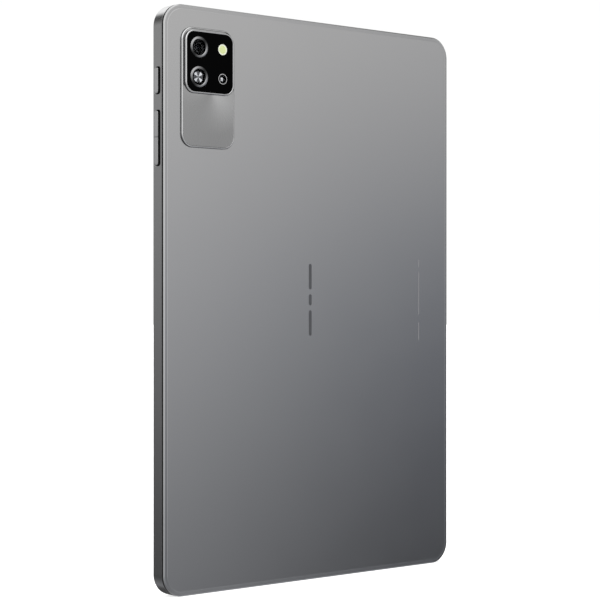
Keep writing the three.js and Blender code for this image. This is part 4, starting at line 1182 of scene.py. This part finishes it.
# The studio round the tablet, as sectors of the compass laid over one another. Each has the direction it
# faces, where it fades in (as the cosine of the angle from that direction), and its brightness up the sky:
# points of (height, brightness, coolness), with height -1 below, 0 at the horizon and 1 overhead.
FLOOR_GLOW = [(-1, 0.7, 0), (-0.75, 0.45, 0.02)]
STUDIO = [
    ("front", (0, -1), None, FLOOR_GLOW + [
        (-0.578, 0.34, 0.02), (-0.444, 0.2, 0.02), (-0.3, 0.1, 0.02), (-0.16, 0.08, 0.02), (0, 0.285, 0.01),
        (0.15, 0.5, 0), (0.27, 0.32, 0), (0.44, 0.09, 0), (0.52, 0.05, 0), (0.6, 0.3, 0), (0.68, 1.1, 0),
        (1, 1.6, 0)]),
    ("front_left", (-1, 0), (-0.3, 0.0), FLOOR_GLOW + [
        (-0.6, 0.06, 0), (-0.35, 0.1, 0), (0, 0.3, 0), (0.3, 0.9, 0), (0.55, 1.4, 0), (1, 1.6, 0)]),
    ("back", (0, 1), (-0.4, 0.3), FLOOR_GLOW + [
        (-0.6, 0.3, 0.05), (-0.35, 0.0, 0.1), (-0.17, 0.005, 0.2), (0, 0.2, 0.14), (0.15, 0.7, 0),
        (0.35, 0.84, -0.01), (0.48, 0.45, 0), (0.6, 0.25, 0), (0.75, 0.9, 0), (1, 1.6, 0)]),
    ("left", (-1, 0), (0.8, 0.97), FLOOR_GLOW + [
        (-0.6, 0.05, 0.05), (-0.35, 0.01, 0.08), (-0.15, 0.01, 0.1), (0, 0.08, 0.06), (0.15, 0.11, 0.02),
        (0.35, 0.45, 0), (0.5, 0.45, 0), (0.64, 0.1, 0), (0.84, 0.1, 0), (1, 1.6, 0)]),
    ("softbox", (0, 1), (0.7, 0.88), FLOOR_GLOW + [
        (-0.5, 0.15, 0.02), (-0.17, 0.37, 0.04), (0, 0.75, 0.01), (0.17, 0.92, -0.01), (0.6, 0.95, 0),
        (1, 1.6, 0)]),
    ("key_light", (0.87, 0.5), (0.5, 0.9), FLOOR_GLOW + [
        (-0.4, 0.4, 0), (0, 0.7, 0), (0.5, 1.5, 0), (1, 1.6, 0)]),
]


def sky_color(brightness, coolness):
    tint = (1 - coolness, 1 - 0.35 * coolness, 1 + 1.2 * coolness)
    return (*(brightness * part for part in tint), 1)


def make_world():
    """The studio's light, which comes from the sky alone."""
    world = bpy.data.worlds.new("studio")
    bpy.context.scene.world = world
    world.use_nodes = True
    tree = world.node_tree

    def node(kind, inputs, **settings):
        return add_node(tree, kind, inputs, **settings)

    place = tree.nodes.new("ShaderNodeTexCoord").outputs["Generated"]
    height = node("SeparateXYZ", {0: place}).outputs["Z"]
    rise = node("MapRange", {"Value": height, "From Min": -1.0}).outputs[0]
    flat = node("VectorMath", {0: place, 1: (1, 1, 0)}, operation="MULTIPLY").outputs[0]
    compass = node("VectorMath", {0: flat}, operation="NORMALIZE").outputs[0]
    sky = None
    for name, facing, fade, stops in STUDIO:
        ramp = node("ValToRGB", {"Fac": rise}, label=name)
        while len(ramp.color_ramp.elements) < len(stops):
            ramp.color_ramp.elements.new(0.5)
        for element, (z, brightness, coolness) in zip(ramp.color_ramp.elements, stops):
            element.position = (z + 1) / 2
            element.color = sky_color(brightness, coolness)
        if sky is None:
            sky = ramp.outputs["Color"]
            continue
        turn = node("VectorMath", {0: compass, 1: (*facing, 0)}, operation="DOT_PRODUCT")
        limits = {"Value": turn.outputs["Value"], "From Min": fade[0], "From Max": fade[1]}
        amount = node("MapRange", limits, interpolation_type="SMOOTHSTEP")
        layers = {0: amount.outputs[0], 6: sky, 7: ramp.outputs["Color"]}
        sky = node("Mix", layers, data_type="RGBA").outputs[2]
    tree.links.new(sky, tree.nodes["Background"].inputs["Color"])


make_camera()
make_floor()
make_backdrop()
make_world()
bpy.context.scene.view_settings.view_transform = "Standard"
